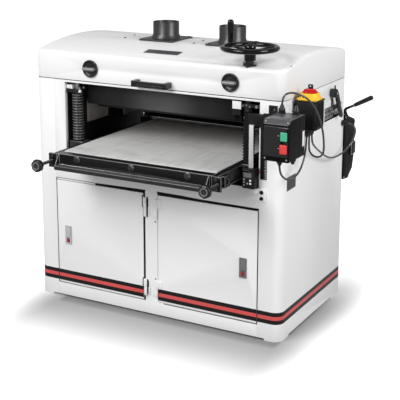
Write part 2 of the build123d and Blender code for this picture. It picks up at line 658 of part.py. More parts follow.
with BuildPart() as front_roller:
    table_roller(ROLL_YF, XC + PLATE_OUT - 8)
save(front_roller, "front_roller")
with BuildPart() as rear_roller:
    table_roller(ROLL_YR, 944)
save(rear_roller, "rear_roller")


def takeup_stem(x):
    rod_y(x, -263, -252, KNOB_Z, 11)
    rod_y(x, -252.5, -154, KNOB_Z, 6)


with BuildPart() as left_takeup_knob:
    rod_y(XC - KNOB_DX, -284, -262, KNOB_Z, 24)
    fillet(left_takeup_knob.edges().filter_by(GeomType.CIRCLE), 5)
    takeup_stem(XC - KNOB_DX)
save(left_takeup_knob, "left_takeup_knob")
with BuildPart() as right_takeup_knob:
    rod_y(XC + KNOB_DX, -284, -262, KNOB_Z, 24)
    fillet(right_takeup_knob.edges().filter_by(GeomType.CIRCLE), 5)
    takeup_stem(XC + KNOB_DX)
save(right_takeup_knob, "right_takeup_knob")

# feed drive at the rear right corner of the table
with BuildPart() as feed_motor:
    block(XC + PLATE_OUT - 12, 948, 652, 728, 574, 652)
    fillet(feed_motor.edges().filter_by(Axis.X), 8)
    block(XC + RAIL_OUT, XC + PLATE_OUT - 12, 660, 716, 596, 634)
    rod_x(XC + RAIL_IN, 945, ROLL_YR, ROLL_Z, SCREW_R + RUN, Mode.SUBTRACT)
save(feed_motor, "feed_motor")

HOUSE_X0, HOUSE_X1 = 948.0, 1050.0
STUB = (1035.0, 640.0, 718.0)
with BuildPart() as drive_housing:
    with BuildSketch(side(HOUSE_X0, 0, 0)):
        with BuildLine():
            Polyline((598, 724), (612, 724), (712, 690), (716, 548), (700, 490), (650, 458), (598, 464), close=True)
        make_face()
    extrude(amount=HOUSE_X1 - HOUSE_X0)
    fillet(drive_housing.edges().filter_by(Axis.X), 4)
    block(HOUSE_X1 - 1, HOUSE_X1 + 6, 666, 712, 551, 600)
    rod_z(STUB[0], STUB[1], 700, STUB[2] - 0.4, 13)
save(drive_housing, "drive_housing")

with BuildPart() as speed_lever:
    rod_z(STUB[0], STUB[1], STUB[2], 740, 7)
    ball((STUB[0], STUB[1], 740), 7)
    bar((STUB[0], STUB[1], 740), (1078, 640, 762), 4.5)
    bar((1074, 640, 760), (1143, 640, 797), 9)
    ball((1143, 640, 797), 9)
    ball((1074, 640, 760), 9)
    # trim so that the grip ends at the machine's right side
    block(X_MAX, X_MAX + 40, 600, 700, 700, 900, Mode.SUBTRACT)
save(speed_lever, "speed_lever")

# ------------------------------------------------------------------
# height readout
# ------------------------------------------------------------------
BEAM_X0, BEAM_X1 = 930.0, 947.0
with BuildPart() as dro_column:
    block(BEAM_X0, BEAM_X1, -16, -11, 545, 792)
    # upper bracket on the stile
    block(922, 1000, -11, -5, 786, 832)
    block(970, 1000, -5, 0, 786, 832)
    # lower bracket
    block(958, 994, -4, 0, 518, 566)
    block(926, 962, -11, -4, 545, 562)
save(dro_column, "dro_column")

with BuildPart() as dro_head:
    block(914, 962, -34, -5, 568, 640)
    fillet(dro_head.edges().filter_by(Axis.Y), 5)
    fillet(dro_head.faces().sort_by(Axis.Y)[0].edges(), 2)
    block(BEAM_X0 - 0.4, BEAM_X1 + 0.4, -16.4, -10.6, 560, 650, Mode.SUBTRACT)
    # arm to the front right lift bracket
    block(915, 928, -6, 3, 622, 636)
save(dro_head, "dro_head")

# ------------------------------------------------------------------
# controls
# ------------------------------------------------------------------
with BuildPart() as switch_bracket:
    block(985, 1130, -17, -12, 728, 838)
    block(1004, 1036, -17, -12, 838, 868)
    block(1003, 1017, -12, 0, 736, 866)
    rod_y(1024, -20, -5, 855, 4.5, Mode.SUBTRACT)
save(switch_bracket, "switch_bracket")

START = (1122.0, 798.0)
STOP = (1122.0, 756.0)
with BuildPart() as switch_box:
    block(*BOX)
    chamfer(switch_box.edges().filter_by(Axis.X).sort_by(Axis.Y)[:2].sort_by(Axis.Z)[-1], 14)
    fillet(switch_box.edges().filter_by(Axis.Z).group_by(Axis.Y)[0], 6)
    # raised control plate
    block(1050, 1136, -153, -149, 728, 828)
    for x, z in (START, STOP):
        block(x - 12.6, x + 12.6, -160, -136, z - 15.6, z + 15.6, Mode.SUBTRACT)
save(switch_box, "switch_box")


def push_button(x, z, proud):
    block(x - 12, x + 12, -153 - proud, -141, z - 15, z + 15)


with BuildPart() as start_button:
    push_button(*START, 4)
    fillet(start_button.faces().sort_by(Axis.Y)[0].edges(), 2)
save(start_button, "start_button")
with BuildPart() as stop_button:
    push_button(*STOP, 8)
    fillet(stop_button.faces().sort_by(Axis.Y)[0].edges(), 2.5)
save(stop_button, "stop_button")

with BuildPart() as isolator_housing:
    block(*ISO)
    fillet(upright_edges(isolator_housing), 12)
    fillet(isolator_housing.faces().sort_by(Axis.Z)[0].edges(), 4)
    block(W, ISO[0] + 2, 78, 134, 790, 862)
save(isolator_housing, "isolator_housing")

with BuildPart() as isolator_bezel:
    cone_z(ISO_X, ISO_Y, ISO[5], ISO[5] + 24, 38, 33.5)
    fillet(isolator_bezel.faces().sort_by(Axis.Z)[-1].edges(), 3)
    rod_z(ISO_X, ISO_Y, ISO[5] + 6, ISO[5] + 30, 6 + RUN, Mode.SUBTRACT)
save(isolator_bezel, "isolator_bezel")

with BuildPart() as isolator_knob:
    rod_z(ISO_X, ISO_Y, ISO[5] + 24.5, ISO[5] + 29, 25.5)
    fillet(isolator_knob.faces().sort_by(Axis.Z)[-1].edges(), 1.5)
    block(ISO_X - 22.5, ISO_X + 22.5, ISO_Y - 6, ISO_Y + 6, ISO[5] + 28, ISO[5] + 37)
    rod_z(ISO_X, ISO_Y, ISO[5] + 7, ISO[5] + 26, 6)
    # padlock tongue
    block(ISO_X - 9, ISO_X + 9, ISO_Y + 2, ISO_Y + 6, ISO[5] + 36, ISO[5] + 52)
save(isolator_knob, "isolator_knob")

with BuildPart() as lock_lever:
    rod_x(W + 1, W + 27, LEVER_Y, LEVER_Z, 17)
    fillet(lock_lever.faces().sort_by(Axis.X)[-1].edges(), 3)
    rod_x(W - 14, W + 2, LEVER_Y, LEVER_Z, 8)
    bar((W + 18, LEVER_Y, LEVER_Z), (W + 22, LEVER_Y + 32, LEVER_Z - 52), 6)
    bar((W + 22, LEVER_Y + 31, LEVER_Z - 50), (W + 26, LEVER_Y + 58, LEVER_Z - 94), 9)
    ball((W + 26, LEVER_Y + 58, LEVER_Z - 94), 9)
    ball((W + 22, LEVER_Y + 31, LEVER_Z - 50), 9)
save(lock_lever, "lock_lever")

# ------------------------------------------------------------------
# cable glands and the three cables that hang between them
# ------------------------------------------------------------------
BOX_TOP = ((1061.0, -34.0), (1113.0, -34.0))
BOX_LOW = ((1085.0, -100.0), (1115.0, -60.0))
ISO_LOW = ((ISO_X, 82.0), (ISO_X, 106.0), (ISO_X, 130.0))
WALL = (557.0, 703.0)
with BuildPart() as cable_glands:
    for x, y in BOX_TOP:
        rod_z(x, y, BOX[5], BOX[5] + 8, 13)
        rod_z(x, y, BOX[5] + 8, BOX[5] + 18, 11)
        cone_z(x, y, BOX[5] + 18, BOX[5] + 30, 9, 5.5)
    for x, y in BOX_LOW:
        rod_z(x, y, BOX[4] - 8, BOX[4], 12)
        cone_z(x, y, BOX[4] - 26, BOX[4] - 8, 5.5, 10)
    for x, y in ISO_LOW:
        rod_z(x, y, ISO[4] - 8, ISO[4], 11)
        cone_z(x, y, ISO[4] - 26, ISO[4] - 8, 5.5, 9.5)
    rod_x(W, W + 7, *WALL, 12)
    with Locations(Location((W + 7 + 8.5 - OX, WALL[0] - OY, WALL[1]), (0, 90, 0))):
        Cone(10, 5.5, 17)
save(cable_glands, "cable_glands")

BOX_LOOP = (
    (1085, -100, BOX[4] - 26), (1085.5, -98, 664), (1089, -84, 643), (1095, -60, 628), (1100, -25, 622),
    (1102, 15, 630), (1103, 48, 650), (1104, 70, 682), (1104, 80, 716), (ISO_X, 82, ISO[4] - 26),
)
TOP_LOOP = (
    (1061, -34, BOX[5] + 30), (1061.5, -33.5, 897), (1068.5, -30, 913), (1084, -22, 920.5), (1103, -9, 917),
    (1121, 6, 908), (1138.5, 22, 890), (1152, 41, 861), (1161, 60, 822), (1165, 78, 779), (1165.5, 90, 738),
    (1163.5, 97, 698), (1152.5, 100, 681), (1134, 102, 675), (1115.5, 104, 681), (1104.6, 105.5, 698),
    (1103.6, 106.2, 724), (ISO_X, 106, ISO[4] - 26),
)
REAR_LOOP = (
    (ISO_X, 130, ISO[4] - 26), (1104, 131, 731), (1103, 142, 712), (1098, 176, 692), (1090, 246, 658),
    (1084, 322, 622), (1080, 398, 600), (1082, 458, 597), (1089, 503, 605), (1098, 534, 623), (1107, 552, 650),
    (1111, 557.3, 680.5), (1103.6, 557.4, 695.5), (1090.5, 557, 703), (W + 24, WALL[0], WALL[1]),
)


def corner_radii(points):
    "Largest arc at each corner that its two runs leave room for; an end run serves one corner only."
    pts = [Vector(*p) for p in points]
    radii = []
    last = len(pts) - 3
    for i, (a, b, c) in enumerate(zip(pts, pts[1:], pts[2:])):
        turn = math.radians((b - a).get_angle(c - b))
        before = (b - a).length * (0.9 if i == 0 else 0.45)
        after = (c - b).length * (0.9 if i == last else 0.45)
        radii.append(min(before, after) / math.tan(turn / 2))
    return radii


for cord_name, route in (("box_loop_cord", BOX_LOOP), ("top_loop_cord", TOP_LOOP), ("rear_loop_cord", REAR_LOOP)):
    pts = [(x - OX, y - OY, z) for x, y, z in route]
    radii = corner_radii(pts)
    with BuildPart() as cord:
        with BuildLine() as path:
            FilletPolyline(*pts, radius=radii)
        with BuildSketch(Plane(origin=path.line @ 0, z_dir=path.line % 0)):
            Circle(CORD_R)
        sweep(path=path.line)
    save(cord, cord_name)
    length = sum(edge.length for edge in path.edges())
    print(cord_name, "length", round(length, 1), "radii", [round(r, 1) for r in radii],
          "volume ratio", round(cord.part.volume / (length * math.pi * CORD_R ** 2), 4))
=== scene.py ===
import bpy
import bmesh
import json
import math
from mathutils import Vector, Matrix


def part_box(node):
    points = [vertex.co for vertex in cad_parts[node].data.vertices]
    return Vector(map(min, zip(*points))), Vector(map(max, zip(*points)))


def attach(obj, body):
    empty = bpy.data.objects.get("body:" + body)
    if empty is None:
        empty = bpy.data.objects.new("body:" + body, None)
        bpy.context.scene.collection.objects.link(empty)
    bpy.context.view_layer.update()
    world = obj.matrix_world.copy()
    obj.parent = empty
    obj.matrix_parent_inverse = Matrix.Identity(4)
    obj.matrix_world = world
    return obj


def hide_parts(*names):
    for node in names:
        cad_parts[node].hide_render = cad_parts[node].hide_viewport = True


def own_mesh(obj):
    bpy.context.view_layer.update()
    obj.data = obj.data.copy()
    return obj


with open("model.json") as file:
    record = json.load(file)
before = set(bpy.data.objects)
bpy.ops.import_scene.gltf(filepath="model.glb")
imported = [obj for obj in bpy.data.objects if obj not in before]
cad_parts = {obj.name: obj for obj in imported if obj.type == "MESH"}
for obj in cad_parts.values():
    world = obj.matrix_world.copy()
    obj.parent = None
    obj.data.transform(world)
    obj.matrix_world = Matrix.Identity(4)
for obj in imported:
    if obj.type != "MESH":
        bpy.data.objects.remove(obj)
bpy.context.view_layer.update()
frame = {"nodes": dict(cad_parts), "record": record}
NODES = frame["nodes"]

# ---------------------------------------------------------------------
# Double drum sander. Working coordinates are millimetres from the
# cabinet's lower left front corner: x right, y back, z up.
# ---------------------------------------------------------------------


def P(x, y, z):
    return Vector(((x - 575.0) / 1000.0, (y - 222.0) / 1000.0, z / 1000.0))


def lin(r, g, b):
    def f(c):
        c /= 255.0
        return c / 12.92 if c <= 0.04045 else ((c + 0.055) / 1.055) ** 2.4
    return (f(r), f(g), f(b))


def crown(y):
    "Height of the hood's crown at depth y."
    return -294.3 + math.sqrt(1314.4 ** 2 - (y - 301.7) ** 2)


# ---------------------------------------------------------------------
# materials
# ---------------------------------------------------------------------


def shade(c, k):
    return tuple(max(0.0, min(1.0, v * k)) for v in c) + (1.0,)


def new_material(name):
    m = bpy.data.materials.new(name)
    m.use_nodes = True
    nt = m.node_tree
    nt.nodes.clear()
    out = nt.nodes.new("ShaderNodeOutputMaterial")
    b = nt.nodes.new("ShaderNodeBsdfPrincipled")
    nt.links.new(b.outputs[0], out.inputs[0])
    return m, nt, b


def coords(nt, stretch=(1, 1, 1)):
    tc = nt.nodes.new("ShaderNodeTexCoord")
    mp = nt.nodes.new("ShaderNodeMapping")
    mp.inputs["Scale"].default_value = stretch
    nt.links.new(tc.outputs["Object"], mp.inputs["Vector"])
    return mp.outputs["Vector"]


def noise_node(nt, vec, scale, detail=3.0, rough=0.55):
    n = nt.nodes.new("ShaderNodeTexNoise")
    n.inputs["Scale"].default_value = scale
    n.inputs["Detail"].default_value = detail
    n.inputs["Roughness"].default_value = rough
    nt.links.new(vec, n.inputs["Vector"])
    return n.outputs["Fac"]


def ramp_node(nt, fac, stops, interp="LINEAR"):
    r = nt.nodes.new("ShaderNodeValToRGB")
    r.color_ramp.interpolation = interp
    els = r.color_ramp.elements
    while len(els) < len(stops):
        els.new(0.5)
    for e, (p, c) in zip(els, stops):
        e.position = p
        e.color = c if len(c) == 4 else tuple(c) + (1.0,)
    nt.links.new(fac, r.inputs["Fac"])
    return r.outputs["Color"]


def range_node(nt, fac, a, b, f0=0.3, f1=0.7):
    r = nt.nodes.new("ShaderNodeMapRange")
    r.inputs["From Min"].default_value = f0
    r.inputs["From Max"].default_value = f1
    r.inputs["To Min"].default_value = a
    r.inputs["To Max"].default_value = b
    nt.links.new(fac, r.inputs["Value"])
    return r.outputs["Result"]


def bump_node(nt, height, strength, distance, normal=None):
    b = nt.nodes.new("ShaderNodeBump")
    b.inputs["Strength"].default_value = strength
    b.inputs["Distance"].default_value = distance
    nt.links.new(height, b.inputs["Height"])
    if normal is not None:
        nt.links.new(normal, b.inputs["Normal"])
    return b.outputs["Normal"]


def surface(name, color, rough=0.5, metal=0.0, spec=0.5, coat=0.0, coat_rough=0.1, var=0.05, var_scale=7.0,
            rvar=0.1, rough_scale=45.0, stretch=(1, 1, 1), bump=0.15, bump_scale=900.0, bump_dist=0.0003, sheen=0.0):
    m, nt, b = new_material(name)
    vec = coords(nt, stretch)
    base = ramp_node(nt, noise_node(nt, vec, var_scale, 5.0), [(0.28, shade(color, 1 - var)), (0.72, shade(color, 1 + var))])
    nt.links.new(base, b.inputs["Base Color"])
    nt.links.new(range_node(nt, noise_node(nt, vec, rough_scale, 4.0), rough - rvar / 2, rough + rvar / 2), b.inputs["Roughness"])
    b.inputs["Metallic"].default_value = metal
    b.inputs["Specular IOR Level"].default_value = spec
    b.inputs["Coat Weight"].default_value = coat
    b.inputs["Coat Roughness"].default_value = coat_rough
    b.inputs["Sheen Weight"].default_value = sheen
    if bump:
        nt.links.new(bump_node(nt, noise_node(nt, vec, bump_scale, 3.0), bump, bump_dist), b.inputs["Normal"])
    return m


WHITE = surface("white_powder_coat", lin(238, 238, 238), rough=0.40, spec=0.42, coat=0.08, coat_rough=0.25, var=0.010,
                var_scale=3.0, rvar=0.08, rough_scale=25, bump=0.10, bump_scale=520, bump_dist=0.0004)
STRIPE_K = surface("stripe_black", lin(20, 18, 18), rough=0.38, spec=0.3, var=0.10, bump=0.08, bump_scale=520)
STRIPE_R = surface("stripe_red", lin(212, 84, 82), rough=0.36, spec=0.35, var=0.04, bump=0.08, bump_scale=520)
INNER = surface("inner_dark_paint", lin(22, 22, 23), rough=0.62, spec=0.2, var=0.25, var_scale=5, bump=0.2, bump_scale=400)
INNER_W = surface("inner_primer_grey", lin(120, 120, 120), rough=0.6, spec=0.3, var=0.12, var_scale=4, bump=0.2, bump_scale=350)
DARK = surface("satin_black_paint", lin(15, 15, 16), rough=0.34, spec=0.26, var=0.18, var_scale=9, bump=0.18, bump_scale=650)
# pale metal for broken edges and edge strips: painted highlight
EDGE_HIGHLIGHT = surface("painted_edge_highlight", lin(150, 150, 151), rough=0.32, metal=0.55, spec=0.5, var=0.2, var_scale=40, bump=0.1, bump_scale=900)
RAIL = surface("rail_grey_paint", lin(36, 36, 37), rough=0.36, spec=0.34, var=0.14, var_scale=9, bump=0.2, bump_scale=600)
PORT = surface("spigot_black", lin(34, 34, 37), rough=0.34, spec=0.7, var=0.15, var_scale=10, rvar=0.08, bump=0.08, bump_scale=500)
PLASTIC = surface("black_plastic", lin(18, 18, 21), rough=0.42, spec=0.24, var=0.12, var_scale=12, bump=0.3, bump_scale=1500, bump_dist=0.0002)
CASE = surface("switch_case", lin(11, 11, 12), rough=0.46, spec=0.09, var=0.08, var_scale=8, bump=0.3, bump_scale=1300, bump_dist=0.0002)
# grey for the switch panel border, and for the rails' outer faces as painted light
GREY_TRIM_AND_LIT_RAIL_SIDE = surface("grey_trim_and_rail_side_painted_light", lin(92, 92, 92), rough=0.4, spec=0.4, var=0.2, var_scale=7, bump=0.2, bump_scale=600)
LATCH = surface("latch_plastic", lin(29, 29, 30), rough=0.3, spec=0.5, var=0.12, var_scale=20, bump=0.12, bump_scale=1100, bump_dist=0.0002)
LATCHBAR = surface("latch_bar", lin(104, 104, 105), rough=0.34, spec=0.5, var=0.12, var_scale=30, bump=0.12, bump_scale=1100, bump_dist=0.0002)
# paler grey for the top of the black switch case: painted reflection
CASE_TOP_PAINTED_REFLECTION = surface("switch_case_top_painted_reflection", lin(78, 78, 80), rough=0.3, spec=0.5, var=0.3, var_scale=16, bump=0.2, bump_scale=900, bump_dist=0.0002)
KNOB = surface("knob_plastic", lin(20, 20, 21), rough=0.24, spec=0.55, var=0.10, var_scale=20, rvar=0.08, bump=0.12, bump_scale=1100, bump_dist=0.0002)
WHEELBLACK = surface("wheel_gloss_black", lin(5, 5, 6), rough=0.12, spec=0.36, var=0.2, rvar=0.05, bump=0.03, bump_scale=300)
GLOSS = surface("gloss_black", lin(8, 8, 9), rough=0.13, spec=0.5, coat=0.5, coat_rough=0.05, var=0.2, rvar=0.05, bump=0.03, bump_scale=300)
IRON = surface("black_iron", lin(24, 24, 25), rough=0.42, spec=0.4, metal=0.15, var=0.2, var_scale=14, bump=0.4, bump_scale=520)
STEEL = surface("machined_steel", lin(176, 178, 180), rough=0.3, metal=1.0, var=0.1, var_scale=20, rvar=0.16, rough_scale=120, bump=0.12, bump_scale=1200)
ZINC = surface("zinc_plate", lin(168, 169, 172), rough=0.34, metal=0.9, var=0.12, var_scale=60, rvar=0.2, rough_scale=200, bump=0.15, bump_scale=900)
# paler grey for the top of the bar's lip: painted light
LIP_TOP_PAINTED_LIGHT = surface("lip_top_painted_light", lin(66, 66, 66), rough=0.4, spec=0.4, var=0.12, var_scale=9, bump=0.2, bump_scale=600)
BOLT = surface("dulled_bolt", lin(60, 60, 61), rough=0.4, metal=0.6, var=0.2, var_scale=60, rvar=0.2, rough_scale=200, bump=0.2, bump_scale=900)
ALU = surface("brushed_aluminium", lin(210, 211, 213), rough=0.40, metal=0.35, var=0.05, var_scale=30, rvar=0.18, rough_scale=160,
              stretch=(6, 6, 0.35), bump=0.2, bump_scale=420)
SILVER = surface("silver_paint", lin(186, 187, 190), rough=0.42, metal=0.3, var=0.08, var_scale=20, bump=0.15)
MOTOR = surface("motor_grey_enamel", lin(86, 90, 94), rough=0.42, spec=0.5, var=0.12, var_scale=8, bump=0.35, bump_scale=380)
RUBBER = surface("bellows_rubber", lin(30, 30, 31), rough=0.30, spec=0.6, var=0.25, var_scale=25, rvar=0.16, bump=0.2, bump_scale=700)
# pale grey for the crest bands and the knob ring: painted highlight
PAINTED_HIGHLIGHT_GREY = surface("painted_highlight_grey", lin(112, 112, 112), rough=0.36, metal=0.2, spec=0.5, var=0.2, var_scale=60, rvar=0.16, bump=0.2, bump_scale=700)
BELT_R = surface("drive_rubber", lin(22, 22, 22), rough=0.68, spec=0.25, var=0.2, bump=0.4, bump_scale=800)
SEAL = surface("seal_rubber", lin(16, 16, 16), rough=0.7, spec=0.2, var=0.2, var_scale=30, bump=0.3, bump_scale=900)
CABLE = surface("cable_sheath", lin(56, 56, 58), rough=0.22, spec=0.9, var=0.15, var_scale=40, bump=0.12, bump_scale=600)
GLAND = surface("gland_nylon", lin(22, 22, 24), rough=0.40, spec=0.4, var=0.15, bump=0.25, bump_scale=1100)
GREEN = surface("green_button", lin(72, 178, 138), rough=0.34, spec=0.4, var=0.06, var_scale=40, bump=0.08, bump_scale=800)
RED = surface("red_button", lin(226, 66, 64), rough=0.34, spec=0.4, var=0.06, var_scale=40, bump=0.08, bump_scale=800)
LATCHRED = surface("latch_red", lin(150, 34, 46), rough=0.4, spec=0.4, var=0.08, var_scale=40, bump=0.08, bump_scale=800)
REDKNOB = surface("red_knob", lin(196, 22, 20), rough=0.3, spec=0.4, var=0.08, var_scale=30, bump=0.1, bump_scale=900)
YELLOW = surface("yellow_bezel", lin(246, 192, 34), rough=0.36, spec=0.4, var=0.05, var_scale=30, bump=0.1, bump_scale=900)
LATCHPALE = surface("latch_plate_pale", lin(190, 190, 190), rough=0.38, spec=0.45, var=0.06, var_scale=30, bump=0.25, bump_scale=900)
LATCHGREY = surface("latch_plate_grey", lin(116, 116, 117), rough=0.38, spec=0.45, var=0.08, var_scale=30, bump=0.25, bump_scale=900)
PLATE = surface("blank_plate", lin(62, 62, 63), rough=0.34, metal=0.3, var=0.1, var_scale=12, stretch=(0.4, 5, 5), bump=0.12, bump_scale=350)
PLATE_RIM = surface("blank_plate_rim", lin(112, 112, 113), rough=0.34, metal=0.4, var=0.1, var_scale=12, bump=0.1, bump_scale=350)
PALE = surface("pale_label", lin(232, 232, 230), rough=0.5, var=0.02, bump=0.05)
LCD = surface("readout_window", lin(104, 108, 106), rough=0.14, spec=0.5, var=0.06, rvar=0.04, bump=0.02)
COVER = surface("cover_grey_brown", lin(168, 163, 159), rough=0.55, spec=0.4, var=0.22, var_scale=9, bump=0.2, bump_scale=400)
WHITEMARK = surface("white_mark", lin(225, 225, 222), rough=0.5, var=0.03, bump=0.05)


def guard_paint():
    """Dark satin paint, paler along the middle of the guard: painted reflection."""
    m, nt, b = new_material("guard_paint_painted_reflection")
    vec = coords(nt)
    sep = nt.nodes.new("ShaderNodeSeparateXYZ")
    nt.links.new(vec, sep.inputs["Vector"])
    # paler middle and darker ends: painted reflection
    along = range_node(nt, sep.outputs["X"], 0.0, 1.0, -0.36, 0.275)
    tone = ramp_node(nt, along, [(0.0, shade(lin(12, 12, 12), 1)), (0.22, shade(lin(30, 30, 30), 1)), (0.55, shade(lin(84, 84, 84), 1)),
                                 (0.8, shade(lin(40, 40, 40), 1)), (1.0, shade(lin(14, 14, 14), 1))], "EASE")
    mix = nt.nodes.new("ShaderNodeMix")
    mix.data_type = "RGBA"
    mix.blend_type = "MULTIPLY"
    mix.inputs["Factor"].default_value = 0.5
    nt.links.new(tone, mix.inputs["A"])
    nt.links.new(ramp_node(nt, noise_node(nt, vec, 6.0, 5.0), [(0.3, (0.75, 0.75, 0.75)), (0.7, (1, 1, 1))]), mix.inputs["B"])
    nt.links.new(mix.outputs["Result"], b.inputs["Base Color"])
    nt.links.new(range_node(nt, noise_node(nt, vec, 40.0, 4.0), 0.42, 0.56), b.inputs["Roughness"])
    b.inputs["Specular IOR Level"].default_value = 0.25
    nt.links.new(bump_node(nt, noise_node(nt, vec, 500.0), 0.15, 0.0003), b.inputs["Normal"])
    return m


GUARD = guard_paint()


def belt_cloth():
    m, nt, b = new_material("conveyor_cloth")
    vec = coords(nt)
    wide = coords(nt, (2.2, 5.2, 1.0))
    # broad pale and dark streaks: painted reflection
    big = noise_node(nt, wide, 1.25, 4.0, 0.6)
    streak = ramp_node(nt, big, [(0.32, (0.70, 0.70, 0.695)), (0.46, (0.92, 0.92, 0.915)), (0.60, (1.0, 1.0, 0.995))])
    # painted light: darker at the infeed end and paler further in, standing in for light that the hood keeps off the
    # back of the belt
    sep = nt.nodes.new("ShaderNodeSeparateXYZ")
    nt.links.new(vec, sep.inputs["Vector"])
    inward = range_node(nt, sep.outputs["Y"], 0.0, 1.0, -0.40, 0.30)
    painted_light_ramp = ramp_node(nt, inward, [(0.0, shade(lin(206, 206, 204), 1)), (0.35, shade(lin(226, 226, 224), 1)), (0.7, shade(lin(252, 252, 250), 1))])
    painted_light_mix = nt.nodes.new("ShaderNodeMix")
    painted_light_mix.data_type = "RGBA"
    painted_light_mix.blend_type = "MULTIPLY"
    painted_light_mix.inputs["Factor"].default_value = 1.0
    nt.links.new(painted_light_ramp, painted_light_mix.inputs["A"])
    nt.links.new(streak, painted_light_mix.inputs["B"])
    lines = noise_node(nt, coords(nt, (22.0, 1.6, 1.0)), 2.6, 4.0, 0.65)
    ruled = nt.nodes.new("ShaderNodeMix")
    ruled.data_type = "RGBA"
    ruled.blend_type = "MULTIPLY"
    ruled.inputs["Factor"].default_value = 1.0
    nt.links.new(painted_light_mix.outputs["Result"], ruled.inputs["A"])
    nt.links.new(ramp_node(nt, lines, [(0.34, (0.86, 0.86, 0.86)), (0.56, (1.0, 1.0, 1.0))]), ruled.inputs["B"])
    tone = ruled.outputs["Result"]
    # plain weave: two crossed thread directions
    waves = []
    for rot in (0.0, math.pi / 2):
        w = nt.nodes.new("ShaderNodeTexWave")
        w.wave_type = "BANDS"
        w.bands_direction = "X" if rot == 0.0 else "Y"
        w.inputs["Scale"].default_value = 190.0
        w.inputs["Distortion"].default_value = 0.6
        nt.links.new(vec, w.inputs["Vector"])
        waves.append(w.outputs["Fac"])
    mx = nt.nodes.new("ShaderNodeMath")
    mx.operation = "MULTIPLY"
    nt.links.new(waves[0], mx.inputs[0])
    nt.links.new(waves[1], mx.inputs[1])
    weave = mx.outputs[0]
    fine = noise_node(nt, vec, 420.0, 3.0)
    mix = nt.nodes.new("ShaderNodeMix")
    mix.data_type = "RGBA"
    mix.blend_type = "MULTIPLY"
    mix.inputs["Factor"].default_value = 0.10
    nt.links.new(tone, mix.inputs["A"])
    nt.links.new(ramp_node(nt, weave, [(0.0, (0.55, 0.55, 0.55)), (0.7, (1, 1, 1))]), mix.inputs["B"])
    nt.links.new(mix.outputs["Result"], b.inputs["Base Color"])
    nt.links.new(range_node(nt, fine, 0.5, 0.72), b.inputs["Roughness"])
    b.inputs["Specular IOR Level"].default_value = 0.4
    b.inputs["Sheen Weight"].default_value = 0.15
    n1 = bump_node(nt, weave, 0.25, 0.0004)
    nt.links.new(bump_node(nt, fine, 0.15, 0.0003, n1), b.inputs["Normal"])
    return m


def abrasive_wrap():
    m, nt, b = new_material("abrasive_wrap")
    vec = coords(nt)
    v = nt.nodes.new("ShaderNodeTexVoronoi")
    v.inputs["Scale"].default_value = 1100.0
    nt.links.new(vec, v.inputs["Vector"])
    grit = ramp_node(nt, v.outputs["Distance"], [(0.1, shade(lin(128, 74, 48), 1)), (0.6, shade(lin(74, 40, 28), 1))])
    nt.links.new(grit, b.inputs["Base Color"])
    nt.links.new(range_node(nt, noise_node(nt, vec, 60, 4), 0.75, 0.95), b.inputs["Roughness"])
    nt.links.new(bump_node(nt, v.outputs["Distance"], 0.5, 0.0004), b.inputs["Normal"])
    return m


CLOTH = belt_cloth()
ABRASIVE = abrasive_wrap()


# ---------------------------------------------------------------------
# mesh builders; all lengths in millimetres
# ---------------------------------------------------------------------


def soften(pts, r, n=3, closed=False):
    "Rounds the corners of a 2-D outline or profile."
    out = []
    k = len(pts)
    for i, p in enumerate(pts):
        if not closed and i in (0, k - 1):
            out.append(p)
            continue
        a, b, c = Vector(pts[i - 1]), Vector(p), Vector(pts[(i + 1) % k])
        la, lc = (a - b).length, (c - b).length
        if la < 1e-6 or lc < 1e-6:
            out.append(p)
            continue
        t = min(r, 0.45 * la, 0.45 * lc)
        q0, q1 = b + (a - b) * (t / la), b + (c - b) * (t / lc)
        for j in range(n + 1):
            u = j / n
            out.append(tuple((1 - u) ** 2 * q0 + 2 * u * (1 - u) * b + u * u * q1))
    return out


def bm_box(x0, x1, y0, y1, z0, z1, bevel=0.6, seg=2):
    bm = bmesh.new()
    bmesh.ops.create_cube(bm, size=1.0)
    for v in bm.verts:
        v.co = P((x0 + x1) / 2 + v.co.x * (x1 - x0), (y0 + y1) / 2 + v.co.y * (y1 - y0), (z0 + z1) / 2 + v.co.z * (z1 - z0))
    d = min(x1 - x0, y1 - y0, z1 - z0)
    if bevel:
        bmesh.ops.bevel(bm, geom=bm.edges[:], offset=min(bevel, 0.4 * d) / 1000, segments=seg, profile=0.5, affect="EDGES", clamp_overlap=True)
    return bm


def hexed(t):
    return math.cos(math.radians(30)) / math.cos(((t + math.radians(30)) % math.radians(60)) - math.radians(30))


def bm_lathe(profile, origin, axis, steps=40, closed=False, radial=None):
    "Turns a profile of (radius, height) about an axis through origin; radial(angle, index) may scale the radius."
    bm = bmesh.new()
    a = Vector(axis).normalized()
    u = Vector((0, 0, 1)) if abs(a.z) < 0.9 else Vector((1, 0, 0))
    u = (u - a * u.dot(a)).normalized()
    w = a.cross(u)
    o = P(*origin)
    rings = []
    for i, (r, h) in enumerate(profile):
        if r < 1e-6:
            rings.append([bm.verts.new(o + a * (h / 1000))])
            continue
        ring = []
        for s in range(steps):
            t = 2 * math.pi * s / steps
            k = radial(t, i) if radial else 1.0
            ring.append(bm.verts.new(o + a * (h / 1000) + (u * math.cos(t) + w * math.sin(t)) * (r * k / 1000)))
        rings.append(ring)
    pairs = list(zip(rings, rings[1:]))
    if closed:
        pairs.append((rings[-1], rings[0]))
    for p, q in pairs:
        if len(p) == 1 and len(q) == 1:
            continue
        for s in range(steps):
            n = (s + 1) % steps
            if len(p) == 1:
                bm.faces.new((p[0], q[n], q[s]))
            elif len(q) == 1:
                bm.faces.new((p[s], p[n], q[0]))
            else:
                bm.faces.new((p[s], p[n], q[n], q[s]))
    if not closed:
        for ring in (rings[0], rings[-1]):
            if len(ring) > 1:
                bm.faces.new(ring)
    bmesh.ops.recalc_face_normals(bm, faces=bm.faces[:])
    return bm


